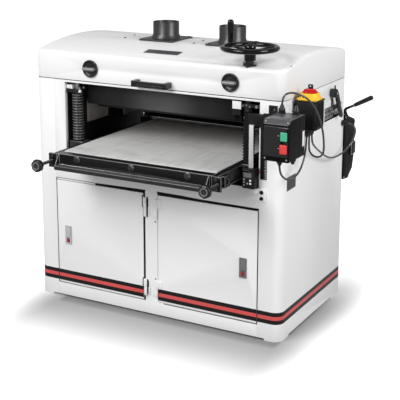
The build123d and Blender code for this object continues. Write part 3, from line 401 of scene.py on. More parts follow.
def bm_prism(pts, axis, d0, d1, bevel=0.5, seg=2, angle=30):
    "Outline extruded along an axis: x takes (y, z), y takes (x, z), z takes (x, y)."
    bm = bmesh.new()

    def at(p, d):
        if axis == "x":
            return P(d, p[0], p[1])
        if axis == "y":
            return P(p[0], d, p[1])
        return P(p[0], p[1], d)
    lo = [bm.verts.new(at(p, d0)) for p in pts]
    hi = [bm.verts.new(at(p, d1)) for p in pts]
    bm.faces.new(lo)
    bm.faces.new(list(reversed(hi)))
    k = len(pts)
    for i in range(k):
        j = (i + 1) % k
        bm.faces.new((lo[i], hi[i], hi[j], lo[j]))
    bmesh.ops.recalc_face_normals(bm, faces=bm.faces[:])
    if bevel:
        es = [e for e in bm.edges if len(e.link_faces) == 2 and e.calc_face_angle(0) > math.radians(angle)]
        bmesh.ops.bevel(bm, geom=es, offset=bevel / 1000, segments=seg, profile=0.5, affect="EDGES", clamp_overlap=True)
    return bm


def bm_rod(points, radius, steps=16, flat=1.0):
    "Round or flattened bar along points (mm); radius is a number or one for each point."
    bm = bmesh.new()
    pts = [P(*p) for p in points]
    rad = radius if isinstance(radius, (list, tuple)) else [radius] * len(pts)
    tang = []
    for i in range(len(pts)):
        a = pts[max(0, i - 1)]
        b = pts[min(len(pts) - 1, i + 1)]
        tang.append((b - a).normalized())
    u = Vector((0, 0, 1)) if abs(tang[0].z) < 0.9 else Vector((1, 0, 0))
    rings = []
    for p, t, r in zip(pts, tang, rad):
        u = (u - t * u.dot(t)).normalized()
        w = t.cross(u)
        rings.append([bm.verts.new(p + (u * math.cos(2 * math.pi * s / steps) * flat + w * math.sin(2 * math.pi * s / steps)) * (r / 1000)) for s in range(steps)])
    for p, q in zip(rings, rings[1:]):
        for s in range(steps):
            n = (s + 1) % steps
            bm.faces.new((p[s], p[n], q[n], q[s]))
    bm.faces.new(rings[0])
    bm.faces.new(rings[-1])
    bmesh.ops.recalc_face_normals(bm, faces=bm.faces[:])
    return bm


def between(a, b, n):
    return [tuple(a[k] + (b[k] - a[k]) * i / n for k in range(3)) for i in range(n + 1)]


def capsule(a, b, r, n=5):
    "Points and radii of a bar with rounded ends."
    A, B = Vector(a), Vector(b)
    d = (B - A).normalized()
    pts, rad = [], []
    for i in range(n + 1):
        t = math.pi / 2 * i / n
        pts.append(tuple(A + d * (r - r * math.cos(t))))
        rad.append(max(0.05, r * math.sin(t)))
    for i in range(n, -1, -1):
        t = math.pi / 2 * i / n
        pts.append(tuple(B - d * (r - r * math.cos(t))))
        rad.append(max(0.05, r * math.sin(t)))
    return pts, rad


def bm_hexhead(origin, axis, af, h, washer=0.0, steps=36):
    "Hexagon bolt head with a chamfered top, on a washer if one is given."
    r = af / 2 / math.cos(math.radians(30))
    prof = []
    kinds = []
    if washer:
        prof += [(washer, 0), (washer, 1.4), (washer - 0.4, 1.8), (r * 1.02, 1.8)]
        kinds += [0, 0, 0, 0]
    z = 1.8 if washer else 0.0
    prof += [(r, z), (r, z + h * 0.82), (af / 2 * 0.96, z + h), (0, z + h)]
    kinds += [1, 1, 0, 0]

    def radial(t, i):
        return hexed(t) if kinds[i] else 1.0
    return bm_lathe(prof, origin, axis, steps, radial=radial)


def bm_sockethead(origin, axis, r, h, steps=30):
    "Round head with a hexagon socket."
    s = r * 0.52
    prof = [(r, 0), (r, h * 0.72), (r * 0.9, h), (s * 1.12, h), (s, h - 0.2), (s, h * 0.45), (0, h * 0.4)]
    kinds = [0, 0, 0, 0, 1, 1, 0]

    def radial(t, i):
        return hexed(t) if kinds[i] else 1.0
    return bm_lathe(prof, origin, axis, steps, radial=radial)


def bm_panhead(origin, axis, r, h, steps=28):
    "Domed head with a cross recess sunk in its crown."
    prof = [(r, 0), (r, h * 0.3), (r * 0.92, h * 0.62), (r * 0.7, h * 0.9), (r * 0.5, h), (r * 0.42, h * 0.98), (r * 0.3, h * 0.55), (0, h * 0.4)]
    kinds = [0, 0, 0, 0, 0, 1, 1, 0]

    def radial(t, i):
        return (1.0 + 0.35 * math.cos(4 * t)) if kinds[i] else 1.0
    return bm_lathe(prof, origin, axis, steps, radial=radial)


class Piece:
    "One visual piece, collected from several solids with their own materials."

    def __init__(self, name):
        self.name = name
        self.bm = bmesh.new()
        self.mats = []

    def slot_of(self, mat):
        if mat not in self.mats:
            self.mats.append(mat)
        return self.mats.index(mat)

    def add(self, bm, mat):
        i = self.slot_of(mat)
        for f in bm.faces:
            f.material_index = i
            f.smooth = True
        me = bpy.data.meshes.new("part_of_" + self.name)
        bm.to_mesh(me)
        bm.free()
        self.bm.from_mesh(me)
        bpy.data.meshes.remove(me)
        return self

    def box(self, mat, x0, x1, y0, y1, z0, z1, bevel=0.6, seg=2):
        return self.add(bm_box(x0, x1, y0, y1, z0, z1, bevel, seg), mat)

    def done(self, body, slot=None, replaces=(), angle=34):
        me = bpy.data.meshes.new(self.name)
        self.bm.to_mesh(me)
        self.bm.free()
        for m in self.mats:
            me.materials.append(m)
        me.set_sharp_from_angle(angle=math.radians(angle))
        o = bpy.data.objects.new(self.name, me)
        bpy.context.scene.collection.objects.link(o)
        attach(o, body)
        if replaces:
            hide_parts(*replaces)
        return o


NODE_BODY = {n: b for b, ns in frame["record"]["behaviour"]["bodies"].items() for n in ns}


def refined(node, mats, width=0.5, seg=2, angle=33, pick=None, cuts=(), skip=None, name=None, shade_angle=36, edge=-1, shape=None):
    """Finished copy of a CAD node: its flat faces merged, its sharp edges broken, and a
    material for each face. pick(centre, normal) gets machine millimetres and returns an index; edge
    is the index for the broken edges; shape(bm) may ease the finished mesh. It stays in the node's box."""
    src = NODES[node].data
    bm = bmesh.new()
    bm.from_mesh(src)
    bmesh.ops.remove_doubles(bm, verts=bm.verts[:], dist=2e-6)
    bmesh.ops.dissolve_limit(bm, angle_limit=math.radians(0.6), verts=bm.verts[:], edges=bm.edges[:], use_dissolve_boundaries=False)
    bmesh.ops.recalc_face_normals(bm, faces=bm.faces[:])
    for f in bm.faces:
        f.material_index = 0
    v0 = abs(bm.calc_volume())
    plain = bm.copy()
    if width:
        es = []
        for e in bm.edges:
            if len(e.link_faces) != 2 or e.calc_face_angle(0) < math.radians(angle):
                continue
            m = (e.verts[0].co + e.verts[1].co) / 2 * 1000
            if skip and skip(m.x + 575, m.y + 222, m.z):
                continue
            es.append(e)
        bmesh.ops.bevel(bm, geom=es, offset=width / 1000, segments=seg, profile=0.5, affect="EDGES", clamp_overlap=False, loop_slide=True, material=edge)
        v1 = abs(bm.calc_volume())
        if not 0.93 < v1 / max(v0, 1e-12) < 1.02:
            print("REFINE", node, "kept plain, volume share", round(v1 / v0, 3))
            bm.free()
            bm = plain
        else:
            plain.free()
    for co, no in cuts:
        bmesh.ops.bisect_plane(bm, geom=bm.verts[:] + bm.edges[:] + bm.faces[:], dist=1e-6, plane_co=P(*co), plane_no=Vector(no))
    for f in bm.faces:
        f.smooth = True
        if edge > 0 and f.material_index == edge:
            continue
        f.material_index = 0
        if pick:
            c = f.calc_center_median() * 1000
            f.material_index = pick((c.x + 575, c.y + 222, c.z), f.normal)
    if shape:
        shape(bm)
    lo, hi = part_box(node)
    for v in bm.verts:
        for k in range(3):
            v.co[k] = min(max(v.co[k], lo[k]), hi[k])
    me = bpy.data.meshes.new((name or node) + "_finish")
    bm.to_mesh(me)
    bm.free()
    for m in mats:
        me.materials.append(m)
    me.set_sharp_from_angle(angle=math.radians(shade_angle))
    o = bpy.data.objects.new((name or node) + "_finish", me)
    bpy.context.scene.collection.objects.link(o)
    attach(o, NODE_BODY[node])
    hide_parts(node)
    return o


# ---------------------------------------------------------------------
# camera, at the photograph's viewing angle
# ---------------------------------------------------------------------
AZ, EL = math.radians(29.17), math.radians(12.43)
cam_data = bpy.data.cameras.new("camera")
cam_data.sensor_width = 36.0
cam_data.lens = 93.15
cam_data.shift_x = 0.03
cam_data.shift_y = -0.19
cam_data.clip_start, cam_data.clip_end = 0.1, 100.0
cam = bpy.data.objects.new("camera", cam_data)
bpy.context.scene.collection.objects.link(cam)
back = Vector((math.sin(AZ) * math.cos(EL), -math.cos(AZ) * math.cos(EL), math.sin(EL)))
cam.location = P(2447.0, -3166.0, 1564.0)
cam.rotation_mode = "QUATERNION"
cam.rotation_quaternion = (-back).to_track_quat("-Z", "Y")
bpy.context.scene.camera = cam
bpy.context.scene.view_settings.view_transform = "Standard"
bpy.context.scene.view_settings.look = "None"

# ---------------------------------------------------------------------
# cables
# ---------------------------------------------------------------------
BOX_LOOP = (
    (1085, -100, 685), (1085.5, -98, 664), (1089, -84, 643), (1095, -60, 628), (1100, -25, 622),
    (1102, 15, 630), (1103, 48, 650), (1104, 70, 682), (1104, 80, 716), (1104, 82, 749),
)
TOP_LOOP = (
    (1061, -34, 880), (1061.5, -33.5, 897), (1068.5, -30, 913), (1084, -22, 920.5), (1103, -9, 917),
    (1121, 6, 908), (1138.5, 22, 890), (1152, 41, 861), (1161, 60, 822), (1165, 78, 779), (1165.5, 90, 738),
    (1163.5, 97, 698), (1152.5, 100, 681), (1134, 102, 675), (1115.5, 104, 681), (1104.6, 105.5, 698),
    (1103.6, 106.2, 724), (1104, 106, 749),
)
REAR_LOOP = (
    (1104, 130, 749), (1104, 131, 731), (1103, 142, 712), (1098, 176, 692), (1090, 246, 658),
    (1084, 322, 622), (1080, 398, 600), (1082, 458, 597), (1089, 503, 605), (1098, 534, 623), (1107, 552, 650),
    (1111, 557.3, 680.5), (1103.6, 557.4, 695.5), (1090.5, 557, 703), (1078, 557, 703),
)
for cord_name, route, length in (("box_loop_cord", BOX_LOOP, 0.2953), ("top_loop_cord", TOP_LOOP, 0.4696), ("rear_loop_cord", REAR_LOOP, 0.5701)):
    cd = bpy.data.curves.new(cord_name + "_cable", "CURVE")
    cd.dimensions = "3D"
    cd.bevel_depth = 0.0035
    cd.bevel_resolution = 5
    cd.use_fill_caps = True
    cd.resolution_u = 14
    sp = cd.splines.new("NURBS")
    sp.points.add(len(route) - 1)
    for pt, p in zip(sp.points, route):
        pt.co = (*P(*p), 1.0)
    sp.order_u = 3
    sp.use_endpoint_u = True
    cd.materials.append(CABLE)
    co = bpy.data.objects.new(cord_name + "_cable", cd)
    bpy.context.scene.collection.objects.link(co)
    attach(co, "cabinet")
    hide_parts(cord_name)

# cable glands: hexagon base, fluted dome nut and a tapered seal round the cable
glands = Piece("cable_glands_finish")


def gland(origin, axis, length, r, blank):
    glands.add(bm_lathe([(r, 0), (r, 4.6), (r * 0.93, 5.4), (r * 0.8, 5.4), (r * 0.8, 7.5)], origin, axis, 36,
                        radial=lambda t, i: hexed(t) if i < 2 else 1.0), GLAND)
    top = length
    nut = [(r * 0.84, 7.3), (r * 0.88, 8.0), (r * 0.88, 13.0), (r * 0.80, 15.5), (r * 0.66, top * 0.66), (5.6, top - 2.2), (5.1, top - 0.6), (4.4, top)]
    nut += [(0, top + 0.0)] if not blank else [(2.6, top - 0.3), (0, top - 0.8)]
    glands.add(bm_lathe(nut, origin, axis, 48, radial=lambda t, i: 1.0 + (0.045 * math.cos(12 * t) if i in (1, 2) else 0.0)), GLAND)


for x, blank in ((1061, False), (1113, True)):
    gland((x, -34, 850), (0, 0, 1), 30, 13, blank)
gland((1085, -100, 711), (0, 0, -1), 26, 12, False)
gland((1115, -60, 711), (0, 0, -1), 26, 12, True)
for y in (82, 106, 130):
    gland((1104, y, 775), (0, 0, -1), 26, 11, False)
gland((1054, 557, 703), (1, 0, 0), 24, 12, False)
glands.done("cabinet", "gland", ["cable_glands"])

# ---------------------------------------------------------------------
# white sheet metal, with the stripe round its foot
# ---------------------------------------------------------------------
BANDS = ((112.0, 96.5, 1), (96.5, 82.0, 2), (82.0, 66.5, 1))
STRIPE_CUTS = [((0, 0, z), (0, 0, 1)) for z in (66.5, 82.0, 96.5, 112.0)]


def band(z):
    for hi, lo, i in BANDS:
        if lo < z < hi:
            return i
    return 0


def pick_side(c, n):
    x, y, z = c
    outside = y < 36.5 or x < 1.5 or x > 1052.5
    inward = (n.x > 0.3 and x < 500) or (n.x < -0.3 and x > 500) or n.y > 0.3
    if outside and not inward and abs(n.z) < 0.5:
        return band(z)
    return 0


SHELL_MATS = [WHITE, STRIPE_K, STRIPE_R]
refined("left_side_panel", SHELL_MATS, 0.7, pick=pick_side, cuts=STRIPE_CUTS)
refined("right_side_panel", SHELL_MATS, 0.7, pick=pick_side, cuts=STRIPE_CUTS)
refined("front_frame", [WHITE], 0.7)
refined("rear_panel", [WHITE], 0.5)


def turned(bm, centre, angle):
    "Turns a mesh about an upright axis."
    c = P(*centre)
    bmesh.ops.rotate(bm, verts=bm.verts[:], cent=c, matrix=Matrix.Rotation(math.radians(angle), 3, "Z"))
    return bm


def bm_ribbon(path, inner, outer, z0, z1):
    "Upright band along points (x, y); inner and outer are offsets to the left and right of the way."
    bm = bmesh.new()
    rows = []
    for i, p in enumerate(path):
        a, b = Vector(path[max(0, i - 1)]), Vector(path[min(len(path) - 1, i + 1)])
        d = (b - a).normalized()
        n = Vector((d.y, -d.x))
        q0, q1 = Vector(p) + n * inner, Vector(p) + n * outer
        rows.append([bm.verts.new(P(q.x, q.y, z)) for q, z in ((q0, z0), (q1, z0), (q1, z1), (q0, z1))])
    for r, t in zip(rows, rows[1:]):
        for k in range(4):
            j = (k + 1) % 4
            bm.faces.new((r[k], r[j], t[j], t[k]))
    bm.faces.new(rows[0])
    bm.faces.new(rows[-1])
    bmesh.ops.recalc_face_normals(bm, faces=bm.faces[:])
    return bm


def arc2(cx, cy, r, a0, a1, n):
    return [(cx + r * math.cos(math.radians(a0 + (a1 - a0) * i / n)), cy + r * math.sin(math.radians(a0 + (a1 - a0) * i / n))) for i in range(n + 1)]


def rounded_rect(cx, cy, hw, hh, r, n=6):
    pts = []
    for sx, sy, a in ((1, 1, 0), (-1, 1, 90), (-1, -1, 180), (1, -1, 270)):
        pts += arc2(cx + sx * (hw - r), cy + sy * (hh - r), r, a, a + 90, n)
    return pts


def bm_crown_plate(x0, x1, y0, y1, t, lift=0.0):
    "Thin plate bent to the hood's crown."
    bm = bmesh.new()
    n = 8
    rows = []
    for i in range(n + 1):
        y = y0 + (y1 - y0) * i / n
        z = crown(y) + lift - 0.4
        rows.append([bm.verts.new(P(x, y, zz)) for x, zz in ((x0, z), (x1, z), (x1, z + t + 0.4), (x0, z + t + 0.4))])
    for r, q in zip(rows, rows[1:]):
        for k in range(4):
            j = (k + 1) % 4
            bm.faces.new((r[k], r[j], q[j], q[k]))
    bm.faces.new(rows[0])
    bm.faces.new(rows[-1])
    bmesh.ops.recalc_face_normals(bm, faces=bm.faces[:])
    es = [e for e in bm.edges if len(e.link_faces) == 2 and e.calc_face_angle(0) > math.radians(40)]
    bmesh.ops.bevel(bm, geom=es, offset=0.0004, segments=2, profile=0.5, affect="EDGES", clamp_overlap=True)
    return bm


# ---------------------------------------------------------------------
# hood
# ---------------------------------------------------------------------
HOOD_MID = Vector((527, 286, 890))


def pick_hood(c, n):
    return 1 if n.dot(HOOD_MID - Vector(c)) > 0 else 0


refined("hood_shell", [WHITE, INNER_W], 0.8, pick=pick_hood)

hood_trim = Piece("hood_trim")
# dark lip seal along the hood's lower edge
hood_trim.add(bm_ribbon(arc2(36, 36, 36, 215, 270, 8) + [(527, 0)] + arc2(1018, 36, 36, 270, 325, 8), -0.8, 0.3, 880.2, 882.7), SEAL)
hood_trim.add(bm_ribbon(arc2(1018, 36, 36, 324, 360, 6) + [(1054, 300), (1054, 571)], -0.8, 0.25, 880.2, 881.6), SEAL)
# blank plate on the crown, in a thin rim
hood_trim.add(bm_crown_plate(453, 600, 64, 106, 0.8), PLATE_RIM)
hood_trim.add(bm_crown_plate(456, 597, 67, 103, 1.1), PLATE)
for x, y in ((256, 252), (254, 326), (569, 244), (567, 321), (872, 252), (872, 326)):
    hood_trim.add(bm_panhead((x, y, crown(y) - 0.3), (0, (y - 301.7) / 1314.4, 1), 5.0, 2.6), GLOSS)
hood_trim.done("hood", "white_paint")

refined("dust_ports", [PORT, EDGE_HIGHLIGHT], 0.9, seg=3)
port_screws = Piece("dust_port_screws")
for px_, py_ in ((415, 300), (705, 300)):
    for sx in (-1, 1):
        for sy in (-1, 1):
            port_screws.add(bm_panhead((px_ + sx * 64, py_ + sy * 69, 1023.8), (0, 0, 1), 5.2, 2.8), GLOSS)
port_screws.done("hood", "black_iron")

# pull handle: grooved bar between two end blocks
handle = Piece("hood_handle_finish")
groove = [(-28.0, 891.0), (-28.0, 909.0), (-30.0, 910.0), (-38.0, 910.0), (-40.0, 908.0), (-40.0, 903.6), (-38.4, 903.0), (-38.4, 897.0),
          (-40.0, 896.4), (-40.0, 892.0), (-38.0, 890.0), (-30.0, 890.0)]
handle.add(bm_prism(groove, "x", 472, 604, bevel=0.4), KNOB)
for x0, x1 in ((464, 480), (596, 612)):
    handle.box(KNOB, x0, x1, -40, 0, 889.0, 911.0, 2.0, 3)
handle.done("hood", "black_plastic", ["hood_handle"])


def hood_latch(name, x, z):
    p = Piece(name + "_finish")
    dish = [(0, 0.7), (32.4, 0.7), (33, 1.4), (33, 6.2), (32.3, 7.5), (31.0, 8.0), (28.8, 8.0), (27.6, 7.5), (26.2, 5.4), (22.5, 3.3), (14.0, 2.2), (0, 2.0)]
    p.add(bm_lathe(dish, (x, 0, z), (0, -1, 0), 64), LATCH)
    bar_pts = [(x - 27, z - 4.2), (x - 20, z - 6.5), (x + 20, z - 6.5), (x + 27, z - 4.2), (x + 27, z + 4.2), (x + 20, z + 6.5), (x - 20, z + 6.5), (x - 27, z + 4.2)]
    p.add(bm_prism(soften(bar_pts, 3.0, 3, True), "y", -20, -2.2, bevel=1.6, seg=3, angle=40), LATCHBAR)
    # pale strip along the top of the bar's face: painted highlight
    p.box(SILVER, x - 23, x + 23, -20.3, -19.4, z - 0.6, z + 3.6, 0.4, 1)
    p.add(bm_lathe([(0, 0), (6, 0), (6, 12), (5.2, 12.6), (0, 12.6)], (x, -1, z), (0, 1, 0), 24), STEEL)
    p.add(bm_prism(rounded_rect(x, z - 25, 6, 33, 4), "y", 7, 10, bevel=0.5), ZINC)
    p.add(bm_hexhead((x, 10, z), (0, 1, 0), 9.5, 3.0), ZINC)
    return p.done(name, "black_plastic", [name])


hood_latch("left_hood_latch", 262, 932)
hood_latch("right_hood_latch", 849, 931)

# ---------------------------------------------------------------------
# handwheel
# ---------------------------------------------------------------------
WX, WY, WZ = 909.0, 28.0, 1052.0
wheel = Piece("handwheel_finish")
rim = [(94 + 10 * math.cos(2 * math.pi * k / 22), WZ + 9 * math.sin(2 * math.pi * k / 22)) for k in range(22)]
wheel.add(bm_lathe(rim, (WX, WY, 0), (0, 0, 1), 84, closed=True), WHEELBLACK)
hub = [(10.2, 1007), (17.6, 1007), (19.4, 1008.2), (20.5, 1010), (20.5, 1031), (19.6, 1033), (18.2, 1034), (18.2, 1037), (19.6, 1038), (20.5, 1040),
       (20.5, 1056), (19.2, 1060.5), (16.4, 1063.2), (13.0, 1064), (11.0, 1064), (10.4, 1062.6), (0, 1062.6)]
wheel.add(bm_lathe(soften(hub, 0.6, 2), (WX, WY, 0), (0, 0, 1), 48), WHEELBLACK)
wheel.add(bm_hexhead((WX, WY, 1062.4), (0, 0, 1), 15, 5.5), IRON)
for ang in (165.2, 285.2, 45.2):
    c_, s_ = math.cos(math.radians(ang)), math.sin(math.radians(ang))
    pts, rad = [], []
    for i in range(11):
        u = i / 10
        r_ = 15 + (88 - 15) * u
        pts.append((WX + r_ * c_, WY + r_ * s_, WZ - 9.5 + 8.5 * (u * u * (3 - 2 * u))))
        rad.append(9.4 - 3.0 * math.sin(math.pi * min(1.0, u * 1.06)) - 0.6 * u)
    wheel.add(bm_rod(pts, rad, 20, 0.72), WHEELBLACK)
wheel.add(bm_lathe(soften([(0, 1045.5), (8.6, 1045.5), (9, 1046.5), (9, 1062.4), (8.2, 1064), (4, 1064), (4, 1139.5), (0, 1139.5)], 0.6, 2), (WX - 87, WY + 23, 0), (0, 0, 1), 28), WHEELBLACK)
wheel.add(bm_lathe([(0, 884.8), (10, 884.8), (10, 1012), (0, 1012)], (WX, WY, 0), (0, 0, 1), 32), STEEL)
for s_ in (-1, 1):
    seg_ = [(WX + s_ * x_, WY + y_) for x_, y_ in arc2(0, 0, 10, -69.5, 69.5, 12)]
    wheel.add(bm_prism(seg_, "z", 872, 885.2, bevel=0.3, angle=50), STEEL)
wheel.done("handwheel", "gloss_black", ["handwheel"])

grip = Piece("handwheel_grip_finish")
gp = [(4.1, 1064.7), (8.6, 1064.7), (10.2, 1066), (10.5, 1070), (9.9, 1075), (10.4, 1084), (11.2, 1098), (11.5, 1112), (11.5, 1130), (10.6, 1138), (8.2, 1142.4), (3.8, 1143.8), (0, 1144)]
grip.add(bm_lathe(soften(gp, 2.0, 3), (WX - 87, WY + 23, 0), (0, 0, 1), 36), WHEELBLACK)
grip.done("handwheel_grip", "gloss_black", ["handwheel_grip"])

refined("handwheel_flange", [IRON], 0.8, seg=2)
fl = Piece("handwheel_flange_bolts")
for dx in (-19.5, 19.5):
    fl.add(bm_hexhead((WX + dx, WY, 997.6), (0, 0, 1), 11.5, 4.6, washer=7.2), ZINC)
fl.done("hood", "zinc")

# ---------------------------------------------------------------------
# doors: stripe across their foot, grey latch plates with red buttons
# ---------------------------------------------------------------------
BTN = {"left": 142.5, "right": 906.0}
for side_name in ("left", "right"):
    bx = BTN[side_name]

    def pick_door(c, n, bx=bx):
        if abs(c[0] - bx) < 15.2 and 222 < c[2] < 299 and (c[1] < -0.2 or c[1] > 2.6):
            return 3
        if n.y < -0.5 and -0.3 < c[1] < 1.0:
            return band(c[2])
        return 0
    plate_mat = LATCHPALE if side_name == "left" else LATCHGREY
    refined(side_name + "_door", SHELL_MATS + [plate_mat], 0.6, pick=pick_door, cuts=STRIPE_CUTS)
    t = Piece(side_name + "_latch_trim")
    # raised border of the plate and the inset flap above the button
    for x0, x1, z0, z1 in ((bx - 14.3, bx - 12.0, 223.2, 297.8), (bx + 12.0, bx + 14.3, 223.2, 297.8), (bx - 12.2, bx + 12.2, 223.2, 225.4), (bx - 12.2, bx + 12.2, 295.6, 297.8)):
        t.box(plate_mat, x0, x1, -4.1, -2.4, z0, z1, 0.5)
    t.box(plate_mat, bx - 9.4, bx + 9.4, -4.4, -2.4, 254, 292, 1.2, 3)
    t.box(PLATE, bx - 10.2, bx + 10.2, -3.1, -2.5, 253, 293, 0.2, 1)
    t.box(PLATE, bx - 9, bx + 9, -3.25, -2.6, 247.6, 249.4, 0.2, 1)
    # screws of the hinge leaf
    hx = -22 if side_name == "left" else 22
    ax = 499.0 if side_name == "left" else 546.0
    for z0, z1 in ((81.0, 143.0), (393.0, 466.0)):
        zm = (z0 + z1) / 2 + 0.5
        for z in (zm + 7, z1 - 7):
            t.add(bm_panhead((ax + hx * 0.72, -2.4, z), (0, -1, 0), 2.6, 1.3, 20), WHITE)
    t.done(side_name + "_door", "zinc")
    b = Piece(side_name + "_latch_button_finish")
    b.add(bm_prism(soften([(bx - 6, 230.5), (bx + 6, 230.5), (bx + 6, 245.5), (bx - 6, 245.5)], 1.6, 3, True), "y", -6, 6, bevel=1.2, seg=3, angle=50), LATCHRED)
    for k in range(3):
        b.box(LATCHRED, bx - 4, bx + 4, -6.45, -5.8, 234.3 + 3.6 * k, 235.7 + 3.6 * k, 0.3, 1)
    b.done(side_name + "_latch_button", "red", [side_name + "_latch_button"])

# painted shade in the gaps above the doors and beside the hinge post: black strips where the table's shadow falls, a
# white strip where the gap is lit
door_gap_shade_strips = Piece("door_gap_painted_shade")
door_gap_shade_strips.box(WHITE, 91.5, 271, 2.2, 12, 481.4, 489.2, 0.8)
door_gap_shade_strips.box(SEAL, 270.6, 495.6, 2.6, 12, 481.0, 489.2, 0.8)
door_gap_shade_strips.box(SEAL, 550, 962.6, 2.6, 12, 481.0, 489.2, 0.8)
# dark and grey strips on the frame round the doors, thicker under the table: painted shadow lines
door_gap_shade_strips.add(bm_prism([(268, 488.4), (268, 489.6), (380, 492.0), (497.5, 494.0), (497.5, 488.4)], "y", -0.8, 3.0, bevel=0.3), SEAL)
door_gap_shade_strips.add(bm_prism([(548, 488.4), (548, 494.4), (640, 493.6), (740, 490.6), (964.6, 490.2), (964.6, 488.4)], "y", -0.8, 3.0, bevel=0.3), SEAL)
door_gap_shade_strips.box(PLATE, 89.4, 91.2, -0.5, 2.0, 56.5, 490.4, 0.3, 1)
door_gap_shade_strips.box(PLATE, 91.0, 267.6, -0.5, 2.0, 488.7, 490.3, 0.3, 1)
door_gap_shade_strips.box(SEAL, 962.9, 965.2, -0.7, 2.0, 56.0, 490.0, 0.3, 1)
door_gap_shade_strips.box(PLATE, 91.0, 496, -0.55, 2.0, 56.1, 57.8, 0.3, 1)
door_gap_shade_strips.box(SEAL, 575, 964.6, -0.6, 2.0, 55.2, 57.8, 0.3, 1)
# black fills in the side and bottom gaps: painted shade
door_gap_shade_strips.box(SEAL, 488.0, 496.3, 2.6, 12, 60, 481.4, 0.8)
door_gap_shade_strips.box(SEAL, 91.0, 92.1, 4.0, 12, 60, 481.0, 0.2, 1)
door_gap_shade_strips.box(SEAL, 962.0, 963.2, 1.2, 12, 60, 481.0, 0.2, 1)
door_gap_shade_strips.box(SEAL, 91.0, 495.6, 3.0, 12, 57.6, 59.0, 0.2, 1)
door_gap_shade_strips.box(SEAL, 550, 962.6, 3.0, 12, 57.6, 59.0, 0.2, 1)
door_gap_shade_strips.done("cabinet", "rubber")

refined("hinge_pins", [WHITE, STEEL], 0.5)
post = Piece("hinge_post_screws")
for z in (399, 422, 87, 106):
    post.add(bm_panhead((512.5, -2.4, z), (0, -1, 0), 2.6, 1.3, 20), WHITE)
    post.add(bm_panhead((532.5, -2.4, z), (0, -1, 0), 2.6, 1.3, 20), WHITE)
for z in (447, 376, 150):
    post.add(bm_panhead((540.5, 0.1, z), (0, -1, 0), 3.0, 1.4, 20), DARK)
for z0, z1 in ((78.0, 146.0), (388.0, 471.0)):
    # dark lip beside the left door's knuckles: painted shadow
    post.add(bm_prism(soften([(505.4, z0), (509.6, z0 + 8), (509.6, z1 - 12), (505.4, z1), (503.9, z1 - 8), (503.9, z0 + 8)], 1.0, 2, True), "y", -3.2, 0.2, bevel=0.3), SEAL)
post.done("cabinet", "zinc")

# dark strips on the left door beside its knuckles: painted shadow
knuckle_shadow = Piece("left_door_hinge_painted_shadow")
for z0, z1 in ((111.0, 146.0), (429.0, 470.0)):
    knuckle_shadow.add(bm_prism(soften([(484.4, z0), (487.0, z0 - 3), (487.6, z0), (487.6, z1), (487.0, z1 + 5), (484.4, z1)], 0.8, 2, True), "y", -3.6, -1.6, bevel=0.3), SEAL)
knuckle_shadow.done("left_door", "rubber")

# ---------------------------------------------------------------------
# inside of the cabinet
# ---------------------------------------------------------------------


refined("inner_frame", [INNER], 0.5)
refined("dust_guards", [GUARD], 0.7)


def pick_brackets(c, n):
    x, y, z = c
    return 0 if x < 167.6 and z > 831 else 1


refined("screw_brackets", [WHITE, IRON], 0.6, pick=pick_brackets)
tops = Piece("screw_top_bolts")
for y in (14, 42):
    tops.add(bm_hexhead((200, y - 0, 846), (0, 0, 1), 10, 5, washer=7), ZINC)
for y0 in (8.0, 524.0):
    f_ = -1 if y0 < 100 else 1
    yy = y0 if f_ < 0 else 564.0
    tops.add(bm_hexhead((206, yy, 839), (0, f_, 0), 8, 4, washer=6), PALE)
    tops.add(bm_hexhead((156, yy + (4 if f_ < 0 else -4), 853), (0, f_, 0), 7, 3), WHITE)
    tops.add(bm_hexhead((930, yy, 852), (0, f_, 0), 9, 4, washer=6), IRON)
    tops.add(bm_hexhead((948, yy, 852), (0, f_, 0), 9, 4, washer=6), ZINC)
# white clip plate and small screws on the front right bearing
tops.box(WHITE, 854, 888, 5.2, 8.2, 838, 866, 0.8)
for x, z in ((895, 852), (908, 854), (921, 850.5)):
    tops.add(bm_sockethead((x, 8.2, z), (0, -1, 0), 3.0, 2.4), ZINC)
tops.done("cabinet", "zinc")

covers = Piece("inner_wall_covers")
covers.box(COVER, 140.6, 144.2, 145, 292, 688, 776, 1.0)
covers.box(COVER, 140.6, 143.2, 406, 520, 668, 722, 1.0)
covers.box(DARK, 144.0, 145.0, 196, 236, 762, 772, 0.4)
for y, z in ((153, 696), (284, 696), (153, 768), (284, 768), (414, 675), (512, 675), (414, 715), (512, 715)):
    covers.add(bm_panhead((144.0 if y < 300 else 143.0, y, z), (1, 0, 0), 3.2, 1.8, 20), ZINC)
covers.done("cabinet", "inner_paint")

# rubber strip curtain behind the rear guard
curtain = Piece("outfeed_dust_curtain")
for k in range(14):
    # two layers, so that the slits are covered
    x0 = 197.0 + 49.8 * k
    low = 646.0 if 1 <= k <= 12 else 647.5
    curtain.add(bm_prism([(529.2, 830.0), (532.0, 830.0), (532.4, 760.0), (532.0, 700.0), (532.4, low), (529.6, low), (529.2, 700.0), (529.5, 760.0)], "x", x0, x0 + 48.8, bevel=0.4), SEAL)
    if k < 13:
        curtain.add(bm_prism([(532.7, 829.0), (534.4, 829.0), (534.6, 760.0), (534.4, 700.0), (534.6, 648.0), (532.9, 648.0), (532.7, 700.0), (532.8, 760.0)], "x", x0 + 28.0, x0 + 70.0, bevel=0.3), SEAL)
curtain.box(IRON, 197, 894, 534.8, 537.2, 812, 830, 0.8)
for k in range(8):
    curtain.add(bm_panhead((214 + 95.0 * k, 537.0, 821), (0, 1, 0), 4.0, 2.0, 20), ZINC)
cur = curtain.done("cabinet", "rubber")
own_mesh(cur)


